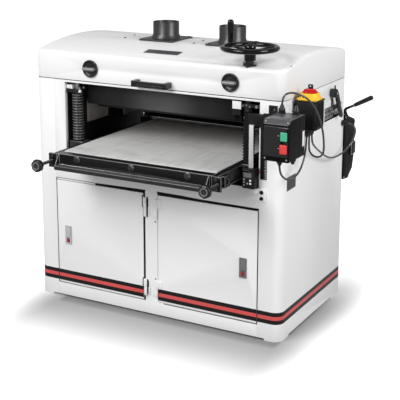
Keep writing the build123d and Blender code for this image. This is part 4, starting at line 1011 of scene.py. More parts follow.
def thread(r0, r1, pitch, z0, z1, x, y, steps=24, per=8):
    "Trapezoid thread: radius follows a helix up the rod."
    bm = bmesh.new()
    n = int((z1 - z0) / pitch * per)
    rings = []
    for i in range(n + 1):
        z = z0 + (z1 - z0) * i / n
        ring = []
        for k in range(steps):
            a = 2 * math.pi * k / steps
            ph = ((z - z0) / pitch - k / steps) % 1.0
            w = abs(ph - 0.5) * 2
            r = r0 + (r1 - r0) * max(0.0, min(1.0, (w - 0.32) / 0.36))
            ring.append(bm.verts.new(P(x + r * math.cos(a), y + r * math.sin(a), z)))
        rings.append(ring)
    for p_, q_ in zip(rings, rings[1:]):
        for k in range(steps):
            j = (k + 1) % steps
            bm.faces.new((p_[k], p_[j], q_[j], q_[k]))
    bm.faces.new(rings[0])
    bm.faces.new(rings[-1])
    bmesh.ops.recalc_face_normals(bm, faces=bm.faces[:])
    return bm


SCREWS = {"front_left": (181.0, 28.0), "front_right": (909.0, 28.0), "rear_left": (181.0, 544.0), "rear_right": (909.0, 544.0)}
for key, (sx, sy) in SCREWS.items():
    p = Piece("screw_" + key + "_finish")
    p.add(thread(8.3, 10.0, 5.0, 577, 826, sx, sy), STEEL)
    p.add(bm_lathe(soften([(0, 512), (9.2, 512), (10, 513), (10, 519), (13, 519), (13, 524.2), (9, 524.2), (9, 532), (13, 532), (13, 541.6), (10, 542), (10, 563.4),
                           (16.4, 563.5), (17, 564.5), (17, 576), (16.2, 577), (9.9, 577.2)], 0.4, 2), (sx, sy, 0), (0, 0, 1), 32), STEEL)
    teeth = 9
    p.add(bm_lathe([(9, 524.6), (15.2, 524.6), (16, 526), (16, 530), (15.2, 531.4), (9, 531.4)], (sx, sy, 0), (0, 0, 1), 72,
                   radial=lambda t, i: 1.0 - (0.11 * (0.5 + 0.5 * math.cos(9 * t)) if i in (1, 2, 3, 4) else 0.0)), STEEL)
    if key == "front_right":
        p.add(bm_lathe(soften([(9.9, 826), (9.9, 829), (18.2, 829), (19, 829.8), (19, 836.4), (18.2, 837.2), (18.2, 838.2), (19, 839), (19, 844.6), (18.2, 845.4), (10, 845.4),
                               (10, 858.6), (15.4, 858.6), (16, 859.4), (16, 867), (15, 868), (0, 868)], 0.3, 2), (sx, sy, 0), (0, 0, 1), 36,
                       radial=lambda t, i: 1.0 - (0.045 * (0.5 + 0.5 * math.cos(18 * t)) if 8 < i < 40 else 0.0)), IRON)
        p.box(STEEL, sx - 3, sx + 3, sy - 8, sy + 8, 866, 884, 0.6)
    else:
        p.add(bm_lathe(soften([(9.9, 826), (10, 826.5), (10, 861), (8.8, 868), (0, 868)], 0.3, 2), (sx, sy, 0), (0, 0, 1), 28), STEEL)
    p.done("screw_" + key, "steel", ["screw_" + key])

# pleated rubber sleeves
bellows = Piece("screw_bellows_finish")
step = 183.0 / 17
for sx, sy in SCREWS.values():
    prof = [(12.2, 645.0), (19.0, 645.0)]
    for i in range(17):
        z = 645.0 + step * i
        for u, r in ((0.12, 17.5), (0.26, 19.2), (0.38, 20.9), (0.46, 21.8), (0.54, 21.9), (0.62, 21.0), (0.74, 19.3), (0.88, 17.6), (1.0, 17.1)):
            prof.append((r if not (i == 16 and u == 1.0) else 18.6, z + step * u))
    prof.append((12.2, 828.0))
    # the right-hand sleeves take the darker seal rubber: painted shade
    bellows.add(bm_lathe(prof, (sx, sy, 0), (0, 0, 1), 40, closed=True), RUBBER if sx < 500 else SEAL)
    for i in range(17):
        z = 645.0 + step * (i + 0.5)
        # pale crest bands on the left-hand sleeves: painted highlight; dark bands on the right-hand ones: painted shade
        bellows.add(bm_lathe([(20.4, z - 1.9), (21.7, z - 1.0), (22.1, z), (21.7, z + 1.0), (20.4, z + 1.9)], (sx, sy, 0), (0, 0, 1), 40, closed=True), PAINTED_HIGHLIGHT_GREY if sx < 500 else SEAL)
bel = bellows.done("cabinet", "rubber", ["screw_bellows"], angle=60)
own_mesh(bel)

# roller chain under the deck
chain = Piece("lift_chain_finish")
loop = []
R_P = 19.5
x0c, x1c, y0c, y1c = 181.0, 909.0, 28.0, 544.0
loop += arc2(x0c, y0c, R_P, 180, 270, 6) + arc2(x1c, y0c, R_P, 270, 360, 6) + arc2(x1c, y1c, R_P, 0, 90, 6) + arc2(x0c, y1c, R_P, 90, 180, 6)
loop.append(loop[0])
total = sum((Vector(a) - Vector(b)).length for a, b in zip(loop, loop[1:]))
count = 2 * round(total / 12.7 / 2)
pitch = total / count
pins = []
acc, k = 0.0, 0
for i in range(count):
    want = i * pitch
    while True:
        seg_len = (Vector(loop[k + 1]) - Vector(loop[k])).length
        if acc + seg_len >= want - 1e-9:
            break
        acc += seg_len
        k += 1
    pins.append(tuple(Vector(loop[k]).lerp(Vector(loop[k + 1]), (want - acc) / seg_len)))
for i, a in enumerate(pins):
    b = pins[(i + 1) % count]
    d = (Vector(b) - Vector(a)).normalized()
    nrm = Vector((-d.y, d.x))
    outl = []
    for j in range(7):
        t = math.pi / 2 + math.pi * j / 6
        outl.append(tuple(Vector(a) + d * 3.0 * math.cos(t) + nrm * 3.0 * math.sin(t)))
    for j in range(7):
        t = -math.pi / 2 + math.pi * j / 6
        outl.append(tuple(Vector(b) + d * 3.0 * math.cos(t) + nrm * 3.0 * math.sin(t)))
    lv = (524.2, 525.2, 530.8, 531.8) if i % 2 else (525.4, 526.4, 529.6, 530.6)
    chain.add(bm_prism(outl, "z", lv[0], lv[1], bevel=0), IRON)
    chain.add(bm_prism(outl, "z", lv[2], lv[3], bevel=0), IRON)
    chain.add(bm_lathe([(0, 526.3), (3.0, 526.3), (3.0, 529.7), (0, 529.7)], (a[0], a[1], 0), (0, 0, 1), 10), STEEL)
chain.done("cabinet", "steel", ["lift_chain"])

# drums: abrasive strip wound round a steel shell
for nm, dy in (("front_drum", 190.0), ("rear_drum", 382.0)):
    def pick_drum(c, n, dy=dy):
        r = math.hypot(c[1] - dy, c[2] - 850.0)
        return 0 if r > 74.5 and 234 < c[0] < 872 else 1

    def ease_shaft(bm, dy=dy):
        # running clearance of the shaft in its bearings
        for v in bm.verts:
            y, z = v.co.y * 1000 + 222 - dy, v.co.z * 1000 - 850.0
            if 18.0 < math.hypot(y, z) < 20.4:
                v.co.y -= y * 0.012 / 1000
                v.co.z -= z * 0.012 / 1000
    refined(nm, [ABRASIVE, STEEL], 0.8, pick=pick_drum, shape=ease_shaft)
    clip = Piece(nm + "_clips")
    for x in (242.0, 864.0):
        clip.add(bm_prism(rounded_rect(x, 850.0, 7.0, 12.0, 3.0), "y", dy - 76.6, dy - 74.5, bevel=0.5), ZINC)
        clip.add(bm_sockethead((x, dy - 76.4, 850.0), (0, -1, 0), 3.4, 1.6), IRON)
    clip.done(nm, "steel")
refined("drum_bearings", [IRON], 0.8)
db = Piece("drum_bearing_bolts")
for y in (190.0, 382.0):
    for xx, d in ((153.0, 1), (951.0, -1)):
        for sy in (-1, 1):
            for sz in (-1, 1):
                db.add(bm_hexhead((xx, y + sy * 38, 850 + sz * 38), (d, 0, 0), 10, 5, washer=7.5), ZINC)
        db.add(bm_lathe([(0, 0), (2.2, 0), (2.2, 6), (1.2, 8.5), (0, 8.8)], (xx + d * 8, y, 884.0), (0, 0, 1), 12), ZINC)
db.done("cabinet", "zinc")

# main motor: finned body, end bells, slotted fan cover, terminal box and feet
MY, MZ = 286.0, 150.0
motor = Piece("main_motor_finish")
body = [(14.2, 186), (58, 186), (60, 188), (60, 198), (72, 200), (88, 202), (90, 206), (90, 214)]
motor.add(bm_lathe(body + [(84, 214.5), (84, 215)], (0, MY, MZ), (1, 0, 0), 96), MOTOR)
motor.add(bm_lathe([(80, 214), (92, 214), (92, 440), (80, 440)], (0, MY, MZ), (1, 0, 0), 180,
                   radial=lambda t, i: 1.0 - (0.085 if (t * 30 / math.pi) % 2 > 1.0 and abs(math.cos(t)) < 0.985 else 0.0) if i in (1, 2) else 1.0), MOTOR)
motor.add(bm_lathe([(78, 439.5), (90, 439.5), (91, 441), (91, 449), (82, 451), (82, 494), (78, 499), (70, 500), (0, 500)], (0, MY, MZ), (1, 0, 0), 72), MOTOR)
for k in range(12):
    a = 2 * math.pi * k / 12
    for r_ in (34.0, 52.0):
        motor.add(bm_lathe([(0, 0), (5, 0), (4.2, 0.5), (0, 0.5)], (500.0, MY + r_ * math.cos(a), MZ + r_ * math.sin(a)), (1, 0, 0), 12), SEAL)
motor.box(MOTOR, 250, 420, MY - 80, MY + 80, 23, 33, 1.5)
for x0, x1 in ((258, 282), (388, 412)):
    motor.add(bm_prism([(MY - 78, 32), (MY + 78, 32), (MY + 62, 84), (MY - 62, 84)], "x", x0, x1, bevel=1.5), MOTOR)
for x in (270, 400):
    for sy in (-1, 1):
        motor.add(bm_hexhead((x - 15 if x < 300 else x + 12, MY + sy * 72, 33), (0, 0, 1), 13, 7, washer=10), ZINC)
motor.box(MOTOR, 285, 385, MY - 50, MY + 50, 228, 262, 3, 3)
motor.box(MOTOR, 282, 388, MY - 53, MY + 53, 262, 270, 2, 3)
for x in (290, 380):
    for sy in (-1, 1):
        motor.add(bm_panhead((x, MY + sy * 45, 269.8), (0, 0, 1), 4, 2.0), ZINC)
motor.done("cabinet", "motor_grey", ["main_motor"])

mp = Piece("motor_pulley_finish")
grooves = [(14.3, 66), (24.8, 66), (26, 67.4), (26, 75), (30, 76)]
edge_prof = [(46, 76), (50, 77), (50, 78.6)]
for k in range(5):
    g0 = 79 + 4.4 * k
    edge_prof += [(50, g0), (46.6, g0 + 1.6), (46.6, g0 + 2.2), (50, g0 + 3.8)]
edge_prof += [(50, 103), (46, 104)]
mp.add(bm_lathe([(0, 66), (24.8, 66), (26, 67.4), (26, 76)] + edge_prof + [(26, 104), (26, 112.6), (24.8, 114), (14, 114), (14, 259), (0, 259)], (0, MY, MZ), (1, 0, 0), 56), IRON)
mp.done("motor_pulley", "black_iron", ["motor_pulley"])
refined("drive_belt", [BELT_R], 0.8)
for nm in ("front_pressure_roller", "rear_pressure_roller"):
    dy = 85.0 if nm.startswith("front") else 487.0

    def pick_press(c, n, dy=dy):
        return 0 if math.hypot(c[1] - dy, c[2] - 793.0) > 9 else 1
    refined(nm, [BELT_R, STEEL], 0.8, pick=pick_press)

# ---------------------------------------------------------------------
# conveyor table
# ---------------------------------------------------------------------
refined("table_bed", [INNER], 0.6)


def pick_rails(c, n):
    out = 1 if c[0] > 553 else -1
    # outer faces of the rails take a paler grey: painted light
    return 2 if n.x * out > 0.5 and c[1] > -110 else 0


# broken edges of the rails take the pale edge material: painted highlight
refined("table_rails", [DARK, EDGE_HIGHLIGHT, GREY_TRIM_AND_LIT_RAIL_SIDE], 1.0, edge=1, pick=pick_rails)


def pick_bar(c, n):
    if c[1] < -186.2 and abs(c[2] - 629) < 12 and min(abs(c[0] - x) for x in (321, 553, 780)) < 12:
        return 2
    # top of the lip paler than its front faces: painted light
    if c[1] < -187.5 and c[2] < 603.4 and 244.5 < c[0] < 861.5:
        return 3 if n.z > 0.5 else 4
    return 0


# broken edges of the bar take the pale edge material: painted highlight
refined("front_bar", [DARK, EDGE_HIGHLIGHT, BOLT, LIP_TOP_PAINTED_LIGHT, RAIL], 1.1, seg=2, edge=1, pick=pick_bar)
# pale strips along the bar's top edges: painted highlight
bar_highlight_strips = Piece("front_bar_painted_highlight_strips")
bar_highlight_strips.box(EDGE_HIGHLIGHT, 232, 874, -186.5, -183.4, 641.0, 643.4, 0.7, 2)
bar_highlight_strips.box(EDGE_HIGHLIGHT, 241, 865, -216.4, -214.2, 601.4, 603.4, 0.6, 2)
bar_highlight_strips.done("table", "zinc")
rb = Piece("table_rail_bolts")
for s_ in (-1, 1):
    for z in (597, 632):
        rb.add(bm_hexhead((553 + s_ * 338.5, -186.0, z), (0, -1, 0), 11.5, 5.0, washer=7.2), BOLT)
    for y in (-60, 120, 300, 480, 640):
        rb.add(bm_sockethead((553 + s_ * 327.2, y, 614.5), (s_, 0, 0), 5.5, 4.5), ZINC)
for x in (321, 553, 780):
    rb.add(bm_hexhead((x, -186, 629), (0, -1, 0), 15.6, 7.0, washer=11.2), BOLT)
rb.done("table", "zinc")

# endless belt: one smooth loop with rounded edges
belt = Piece("conveyor_belt_finish")
YF, YR, RZ, RO, RI = -131.0, 690.0, 612.5, 31.5, 28.5
way = []
for i in range(41):
    way.append((YF + (YR - YF) * i / 40, 1, 90.0))
path = []
for i in range(60):
    path.append((YF + (YR - YF) * i / 60, RZ, 90.0))
for i in range(25):
    path.append((YR, RZ, 90.0 - 180.0 * i / 24))
for i in range(1, 60):
    path.append((YR - (YR - YF) * i / 60, RZ, -90.0))
for i in range(24):
    path.append((YF, RZ, -90.0 - 180.0 * i / 24))
bmb = bmesh.new()
sect = [(-317.5, RI + 0.7), (-317.1, RI), (-200, RI), (0, RI), (200, RI), (317.1, RI), (317.5, RI + 0.7), (317.5, RO - 0.7), (317.1, RO - 0.1), (316.2, RO),
        (250, RO), (125, RO), (0, RO), (-125, RO), (-250, RO), (-316.2, RO), (-317.1, RO - 0.1), (-317.5, RO - 0.7)]
rows = []
for y, z, a in path:
    ca, sa = math.cos(math.radians(a)), math.sin(math.radians(a))
    rows.append([bmb.verts.new(P(553 + x, y + r * ca, z + r * sa)) for x, r in sect])
for i in range(len(rows)):
    q = rows[(i + 1) % len(rows)]
    for k in range(len(sect)):
        j = (k + 1) % len(sect)
        bmb.faces.new((rows[i][k], rows[i][j], q[j], q[k]))
bmesh.ops.recalc_face_normals(bmb, faces=bmb.faces[:])
belt.add(bmb, CLOTH)
belt.done("table", "cloth", ["conveyor_belt"], angle=40)
refined("front_roller", [STEEL], 0.8)
refined("rear_roller", [STEEL], 0.8)


def takeup(name, x):
    p = Piece(name + "_finish")
    kp = [(0, 2.2), (8.4, 2.2), (9.0, 1.4), (9.6, 0.8), (15.4, 0.8), (16.2, 0.0), (17.6, 0.0), (20.2, 1.0), (23.0, 3.6), (24, 6.8), (24, 15.2), (23.0, 18.8), (20, 21.6), (13, 22.0), (0, 22.0)]
    p.add(bm_lathe(soften(kp, 1.2, 3), (x, -284, 612.5), (0, 1, 0), 84,
                   radial=lambda t, i: 1.0 - 0.05 * (0.5 + 0.5 * math.cos(7 * t)) if i > 15 else 1.0), KNOB)
    # pale ring on the knob's face: painted highlight
    p.add(bm_lathe([(9.9, 0.3), (15.1, 0.3), (15.3, 0.9), (15.3, 1.4), (9.7, 1.4), (9.7, 0.9)], (x, -284, 612.5), (0, 1, 0), 48, closed=True), PAINTED_HIGHLIGHT_GREY)
    p.add(bm_lathe([(0, 1.2), (5.6, 1.2), (6.2, 1.9), (0, 1.9)], (x, -284, 612.5), (0, 1, 0), 32), BOLT)
    p.add(bm_lathe(soften([(0, 21.0), (11, 21.0), (11, 31.0), (10, 32.0), (6, 32.2), (0, 32.2)], 0.6, 2), (x, -284, 612.5), (0, 1, 0), 32), DARK)
    p.add(bm_hexhead((x, -250, 612.5), (0, 1, 0), 17, 8), ZINC)
    # threaded stem
    bm = thread(4.9, 6.0, 2.0, 0, 97.5, 0, 0, 20, 6)
    o = P(0, 0, 0)
    for v in bm.verts:
        q = (v.co - o) * 1000
        v.co = P(x + q.x, -252.0 + q.z, 612.5 - q.y)
    bmesh.ops.recalc_face_normals(bm, faces=bm.faces[:])
    p.add(bm, BOLT)
    p.done(name, "black_plastic", [name])


takeup("left_takeup_knob", 553 - 343.5)
takeup("right_takeup_knob", 553 + 343.5)
# broken edges of the nuts take the pale edge material: painted highlight
refined("lift_nuts", [RAIL, EDGE_HIGHLIGHT], 0.9, edge=1)

# feed drive
refined("feed_motor", [DARK], 0.8)
refined("drive_housing", [CASE], 1.0)
dh = Piece("drive_housing_trim")
# bright cover plate on the sloping top, framed box and screws on the right face
slope = math.atan2(690 - 724, 712 - 612)
plate = bm_box(954, 1044, 616, 706, 0, 1.6, 0.6)
for v in plate.verts:
    q = v.co * 1000 + Vector((575, 222, 0))
    yy = q.y - 612
    v.co = P(q.x, 612 + yy * math.cos(slope) - q.z * math.sin(slope), 724 + yy * math.sin(slope) + q.z * math.cos(slope))
bmesh.ops.recalc_face_normals(plate, faces=plate.faces[:])
dh.add(plate, SILVER)
for y0, y1, z0, z1 in ((666, 712, 598.2, 600.2), (666, 712, 550.8, 552.8), (665.8, 667.8, 551, 600), (710.2, 712.2, 551, 600)):
    dh.box(SILVER, 1055.2, 1056.8, y0, y1, z0, z1, 0.4)
dh.box(DARK, 1055.6, 1056.6, 674, 704, 559, 592, 0.4)
for y, z in ((606, 715), (606, 472), (708, 680), (707, 556), (652, 466)):
    dh.add(bm_sockethead((1049.8, y, z), (1, 0, 0), 4.4, 3.2), ZINC)
dh.add(bm_sockethead((1056.6, 705, 556), (1, 0, 0), 2.6, 1.4), ZINC)
dh.add(bm_lathe(soften([(13.2, 700), (13.2, 712), (11.8, 715), (9.8, 717.4), (0, 717.4)], 0.6, 2), (1035, 640, 0), (0, 0, 1), 32), DARK)
dh.done("table", "black_plastic")
fm_ = Piece("feed_motor_trim")
for y, z in ((662, 584), (718, 584), (662, 642), (718, 642)):
    fm_.add(bm_sockethead((898.2, y, z), (-1, 0, 0), 3.8, 3.0), ZINC)
for k in range(6):
    fm_.box(DARK, 905, 942, 727.2, 728.0, 588 + 10 * k, 592 + 10 * k, 0.3, 1)
fm_.done("table", "black_plastic")

lever = Piece("speed_lever_finish")
lever.add(bm_lathe(soften([(0, 718.2), (8.6, 718.2), (9.2, 719), (9.2, 726), (7.4, 728), (6.2, 730), (6.2, 738), (0, 740)], 0.6, 2), (1035, 640, 0), (0, 0, 1), 32), DARK)
lever.add(bm_rod([(1035, 640, 730), (1035.2, 640, 736), (1036.2, 640, 740), (1038.6, 640, 742.6), (1042, 640, 744.4), (1060, 640, 753.2), (1082, 640, 764)],
                 [5.6, 5.6, 5.4, 5.2, 5.0, 4.6, 4.6], 18), DARK)
lever.add(bm_rod([(1070, 640, 758.0), (1076, 640, 761.2)], [6.4, 6.4], 18), ZINC)
pts, rad = [], []
A_, B_ = Vector((1075, 640, 760.6)), Vector((1148.4, 640, 800.0))
for i in range(25):
    u = i / 24
    pts.append(tuple(A_.lerp(B_, u)))
    if u < 0.06:
        r_ = 6.8 + 1.0 * (u / 0.06)
    elif u < 0.88:
        r_ = 7.8 + 1.3 * math.sin(math.pi / 2 * (u - 0.06) / 0.82)
    else:
        r_ = 9.1 * math.sqrt(max(0.0004, 1 - ((u - 0.88) / 0.12) ** 2))
    rad.append(r_)
lever.add(bm_rod(pts, rad, 28), KNOB)
lever.done("speed_lever", "black_plastic", ["speed_lever"])

# ---------------------------------------------------------------------
# height readout and scale
# ---------------------------------------------------------------------


def pick_dro(c, n):
    x, y, z = c
    if z > 785.5 and y > -11.4 and (z > 792.4 or x < 929 or x > 948 or y > -10.9):
        return 1
    if z < 567 and y > -11.3 and (x > 948 or x < 929.5 or y > -10.9):
        return 2
    return 0


refined("dro_column", [ALU, DARK, WHITE], 0.7, pick=pick_dro)
dro = Piece("readout_fittings")
for z in (552, 530):
    dro.add(bm_sockethead((976, -3.9, z), (0, -1, 0), 6.8, 5.0), DARK)
for x, z in ((978, 822), (992, 822), (978, 796), (992, 796)):
    dro.add(bm_sockethead((x, -10.9, z), (0, -1, 0), 4.0, 3.0), IRON)
dro.box(LATCHPALE, 934, 950, -11.8, -10.8, 547, 560, 0.4)
# ruled scale on the stile
dro.box(DARK, 968, 993, -1.3, 0.2, 598, 783, 0.3)
for k in range(36):
    z = 603 + 5 * k
    ln = 8.5 if k % 2 == 0 else 4.5
    dro.box(WHITEMARK, 992 - ln, 992, -1.55, -1.0, z - 0.55, z + 0.55, 0)
dro.box(PALE, 963.4, 967.6, -1.6, 0.2, 575, 784, 0.4)
dro.done("cabinet", "aluminium")

refined("dro_head", [PLASTIC], 0.8)
head = Piece("readout_head_trim")
head.box(GLOSS, 917, 959, -34.35, -33.6, 604, 630, 0.3)
head.box(LCD, 919.5, 950, -34.6, -34.0, 608.5, 625.5, 0.4)
for x, z in ((922, 600), (922, 590), (922, 580)):
    head.box(SILVER, x - 2.6, x + 2.6, -35.2, -33.5, z - 2.4, z + 2.4, 0.8, 3)
for x, z in ((946, 598), (946, 587)):
    head.box(PALE, x - 3.6, x + 3.6, -35.3, -33.5, z - 3.4, z + 3.4, 1.0, 3)
head.box(SILVER, 932, 938, -35.2, -33.5, 584, 589, 1.0, 3)
head.box(PLATE_RIM, 918, 940, -34.25, -33.7, 632.5, 634.5, 0.2, 1)
# pointer to the scale
head.box(DARK, 960, 966, -8.0, -5.2, 612, 640, 0.4)
head.add(bm_prism([(962, 620), (962, 630), (971, 626), (971, 624)], "y", -5.4, -3.6, bevel=0.2), REDKNOB)
head.done("table", "black_plastic")

# ---------------------------------------------------------------------
# controls
# ---------------------------------------------------------------------
refined("switch_bracket", [DARK], 0.7)


def pick_box(c, n):
    # upward faces of the case take a paler grey: painted reflection
    if n.z > 0.35 and c[2] > 820:
        return 2
    return 1 if c[1] < -152.2 else 0


refined("switch_box", [CASE, GLOSS, CASE_TOP_PAINTED_REFLECTION], 1.0, seg=3, pick=pick_box)
sb = Piece("switch_box_trim")
for z in (798.0, 756.0):
    for x0, x1, z0, z1 in ((1106.8, 1109.2, z - 17.6, z + 17.6), (1134.8, 1136.8, z - 17.6, z + 17.6), (1109, 1135, z + 15.7, z + 17.6), (1109, 1135, z - 17.6, z - 15.7)):
        sb.box(PLASTIC, x0, x1, -154.4, -152.8, z0, z1, 0.4)
# cover seam round the case, corner screws and a blank label
sb.box(SEAL, 1138.7, 1139.3, -64, -62.4, 712, 849.5, 0)
sb.box(SEAL, 1046, 1138.5, -64, -62.4, 849.7, 850.3, 0)
sb.box(SEAL, 1046, 1138.5, -64, -62.4, 710.7, 711.3, 0)
for x in (1053, 1131):
    sb.add(bm_panhead((x, -149.8, 719.5), (0, -1, 0), 3.4, 2.0, 24), ZINC)
    sb.add(bm_panhead((x, -143.2, 843.2), (0, -0.707, 0.707), 3.4, 2.0, 24), ZINC)
sb.box(PALE, 1138.8, 1139.4, -38, -22, 744, 796, 0.2)
# pale plate on the case's top: painted reflection
sb.box(CASE_TOP_PAINTED_REFLECTION, 1058, 1128, -130, -48, 849.6, 851.6, 1.0, 2)
# bare gloss panel in a thin border
for x0, x1, z0, z1 in ((1058, 1103, 806.6, 808.2), (1058, 1103, 741.8, 743.4), (1058, 1059.6, 742, 808), (1101.4, 1103, 742, 808)):
    sb.box(GREY_TRIM_AND_LIT_RAIL_SIDE, x0, x1, -151.2, -149.4, z0, z1, 0.3, 1)
sb.box(GLOSS, 1059.4, 1101.6, -150.7, -149.4, 743.2, 806.8, 0.3, 1)
# small plain indicator marks beside the buttons
for z in (800, 758):
    sb.box(WHITEMARK, 1101.5, 1105, -153.3, -152.8, z - 0.8, z + 0.8, 0)
sb.done("cabinet", "black_plastic")


def push(name, z, proud, mat):
    p = Piece(name + "_finish")
    y0 = -153.0 - proud
    p.add(bm_prism(soften([(1110.0, z - 15), (1134.0, z - 15), (1134.0, z + 15), (1110.0, z + 15)], 2.4, 4, True), "y", y0, -141, bevel=1.8, seg=3, angle=50), mat)
    p.done(name, "green" if mat is GREEN else "red", [name])


push("start_button", 798.0, 4, GREEN)
push("stop_button", 756.0, 8, RED)

refined("isolator_housing", [PLASTIC], 0.8)
iso = Piece("isolator_ribs")
for k in range(8):
    y = 78 + 8 * k
    iso.box(PLASTIC, 1142.4, 1144.4, y - 1.5, y + 1.5, 786, 870, 0.7)
for k in range(8):
    x = 1075 + 8 * k
    iso.box(PLASTIC, x - 1.5, x + 1.5, 64.6, 66.6, 786, 870, 0.7)
iso.box(PLASTIC, 1062.6, 1143.8, 65.2, 146.8, 872.5, 877.8, 1.2)
for x, y in ((1069, 72), (1137, 72), (1137, 140), (1069, 140)):
    iso.add(bm_panhead((x, y, 877.6), (0, 0, 1), 3.0, 1.6, 20), ZINC)
iso.done("cabinet", "black_plastic")

bez = Piece("isolator_bezel_finish")
bez.add(bm_prism(rounded_rect(1104, 104, 37.5, 37.5, 14, 8), "z", 878.0, 884.0, bevel=1.4, seg=3, angle=50), YELLOW)
bez.add(bm_lathe(soften([(6.2, 880), (38, 880), (38, 884), (37.2, 886), (34.8, 899), (33.8, 901.4), (32, 902), (27.8, 902), (27.0, 901.2), (27.0, 899.6), (6.2, 899.6)], 0.6, 2), (1104, 104, 0), (0, 0, 1), 64), YELLOW)
for ang in (228, 252):
    bez.add(turned(bm_box(1104 + 35.0, 1104 + 37.1, 104 - 2.6, 104 + 2.6, 887.5, 896, 0.3), (1104, 104, 0), ang), SEAL)
bez.done("cabinet", "yellow", ["isolator_bezel"])

ik = Piece("isolator_knob_finish")
ik.add(bm_lathe(soften([(6, 885), (6, 902.6), (25.1, 902.6), (25.5, 903.2), (25.5, 905.6), (24.1, 907), (0, 907)], 0.5, 2), (1104, 104, 0), (0, 0, 1), 56), REDKNOB)
ik.add(bm_prism([(1081.5, 906.4), (1126.5, 906.4), (1125, 911.5), (1119, 915), (1089, 915), (1083, 911.5)], "y", 97.6, 110.4, bevel=1.6, seg=3), REDKNOB)
ik.add(bm_prism(soften([(1095, 914), (1113, 914), (1113, 928), (1110, 930), (1098, 930), (1095, 928)], 1.0, 2, True), "y", 106, 110, bevel=0.6), PLASTIC)
ik.add(bm_lathe([(0, 0), (2.6, 0), (2.2, 0.4), (0, 0.4)], (1104, 106.0, 923), (0, -1, 0), 16), WHITEMARK)
ik.done("isolator_knob", "red", ["isolator_knob"])

ll = Piece("lock_lever_finish")
ll.add(bm_lathe(soften([(0, 1), (15.6, 1), (17, 2.4), (17, 20), (15.2, 24.6), (11, 26.6), (8.6, 26.6), (7.8, 25.4), (0, 25.4)], 1.0, 3), (1054, 430, 842), (1, 0, 0), 44), KNOB)
ll.add(bm_lathe([(0, -14), (8, -14), (8, 2), (0, 2)], (1054, 430, 842), (1, 0, 0), 24), STEEL)
ll.add(bm_hexhead((1079.2, 430, 842), (1, 0, 0), 11, 3.4), ZINC)
arm = [(421, 846), (436, 853), (448, 840), (468, 800), (497, 752), (495, 743), (487, 739.5), (480, 744), (450, 796), (430, 828)]
ll.add(bm_prism(soften(arm, 4.0, 4, True), "x", 1069, 1080.5, bevel=2.0, seg=3, angle=40), KNOB)
ll.add(bm_rod([(1075, 422, 848), (1075, 418, 858), (1075, 417, 874)], [3.6, 3.2, 2.6], 14), KNOB)
ll.done("lock_lever", "black_plastic", ["lock_lever"])

# drum adjuster seen through the slot in the right side
adj = Piece("drum_adjuster")
adj.box(INNER, 1043.0, 1046.0, 366, 551, 730, 798, 0.6)
adj.box(ZINC, 1045.6, 1049.6, 380, 470, 742, 786, 0.8)
for k in range(5):
    for j in range(2):
        adj.add(bm_lathe([(0, 0), (4.2, 0), (3.8, 0.4), (0, 0.4)], (1049.5, 390 + 16 * k, 754 + 18 * j), (1, 0, 0), 18), SEAL)
adj.box(SILVER, 1045.6, 1051.0, 486, 530, 748, 768, 1.2)
adj.add(bm_hexhead((1051.0, 500, 758), (1, 0, 0), 12, 5, washer=8), ZINC)
adj.add(bm_hexhead((1049.6, 460, 764), (1, 0, 0), 12, 5, washer=8), ZINC)
adj.add(bm_rod([(1057.5, 436, 788), (1057.5, 436, 822)], 2.6, 14), DARK)
adj.add(bm_rod([(1057.5, 430, 788), (1057.5, 486, 788)], 2.8, 14), DARK)
for y in (431, 484):
    adj.add(bm_lathe([(0, 0), (4.2, 0), (4.2, 3), (3.4, 3.8), (0, 3.8)], (1053.8, y, 788), (1, 0, 0), 18), ZINC)
adj.done("cabinet", "zinc")

# small plate with rivets on the right side
plate_side = Piece("side_plate")
plate_side.box(PLATE_RIM, 1053.8, 1054.8, 36, 112, 556, 606, 0.3)
plate_side.box(PLATE, 1054.4, 1055.1, 38, 110, 558, 604, 0.2, 1)
for y in (41, 107):
    for z in (561, 601):
        plate_side.add(bm_lathe([(0, 0), (1.9, 0), (1.6, 0.7), (0.8, 1.0), (0, 1.05)], (1055.0, y, z), (1, 0, 0), 16), ZINC)
plate_side.done("cabinet", "zinc")

# rear panel screws
ps = Piece("panel_screws")
for x in (60, 290, 527, 764, 994):
    for z in (30, 300, 540):
        ps.add(bm_panhead((x, 571.8, z), (0, 1, 0), 4.6, 2.4, 24), ZINC)
for x in (100, 954):
    for z in (620, 740, 850):
        ps.add(bm_panhead((x, 571.8, z), (0, 1, 0), 4.6, 2.4, 24), ZINC)
ps.done("cabinet", "zinc")

# ---------------------------------------------------------------------
# stage: pale floor with a painted contact shadow, and soft studio light
# ---------------------------------------------------------------------
fm, fnt, fb = new_material("floor_pale_painted_shadow")
fvec = coords(fnt)


def vmath(op, a, b=None):
    n = fnt.nodes.new("ShaderNodeVectorMath")
    n.operation = op
    fnt.links.new(a, n.inputs[0])
    if b is not None:
        n.inputs[1].default_value = b
    return n


# painted contact shadow: darker colour and no glow close round the machine's footprint, fading out to a pale floor that
# glows further away
off = vmath("SUBTRACT", fvec, tuple(P(586, 160, 0)))
far_ = vmath("ABSOLUTE", off.outputs[0])
rest_ = vmath("SUBTRACT", far_.outputs[0], (0.455, 0.17, 10.0))
pos_ = vmath("MAXIMUM", rest_.outputs[0], (0.0, 0.0, 0.0))
wide_ = vmath("MULTIPLY", pos_.outputs[0], (2.6, 1.0, 1.0))
dist = vmath("LENGTH", wide_.outputs[0]).outputs["Value"]
painted_shadow_fade = fnt.nodes.new("ShaderNodeMapRange")
painted_shadow_fade.interpolation_type = "SMOOTHSTEP"
painted_shadow_fade.inputs["From Min"].default_value = 0.0
painted_shadow_fade.inputs["From Max"].default_value = 0.78
painted_shadow_fade.inputs["To Min"].default_value = 0.0
painted_shadow_fade.inputs["To Max"].default_value = 0.80
fnt.links.new(dist, painted_shadow_fade.inputs["Value"])
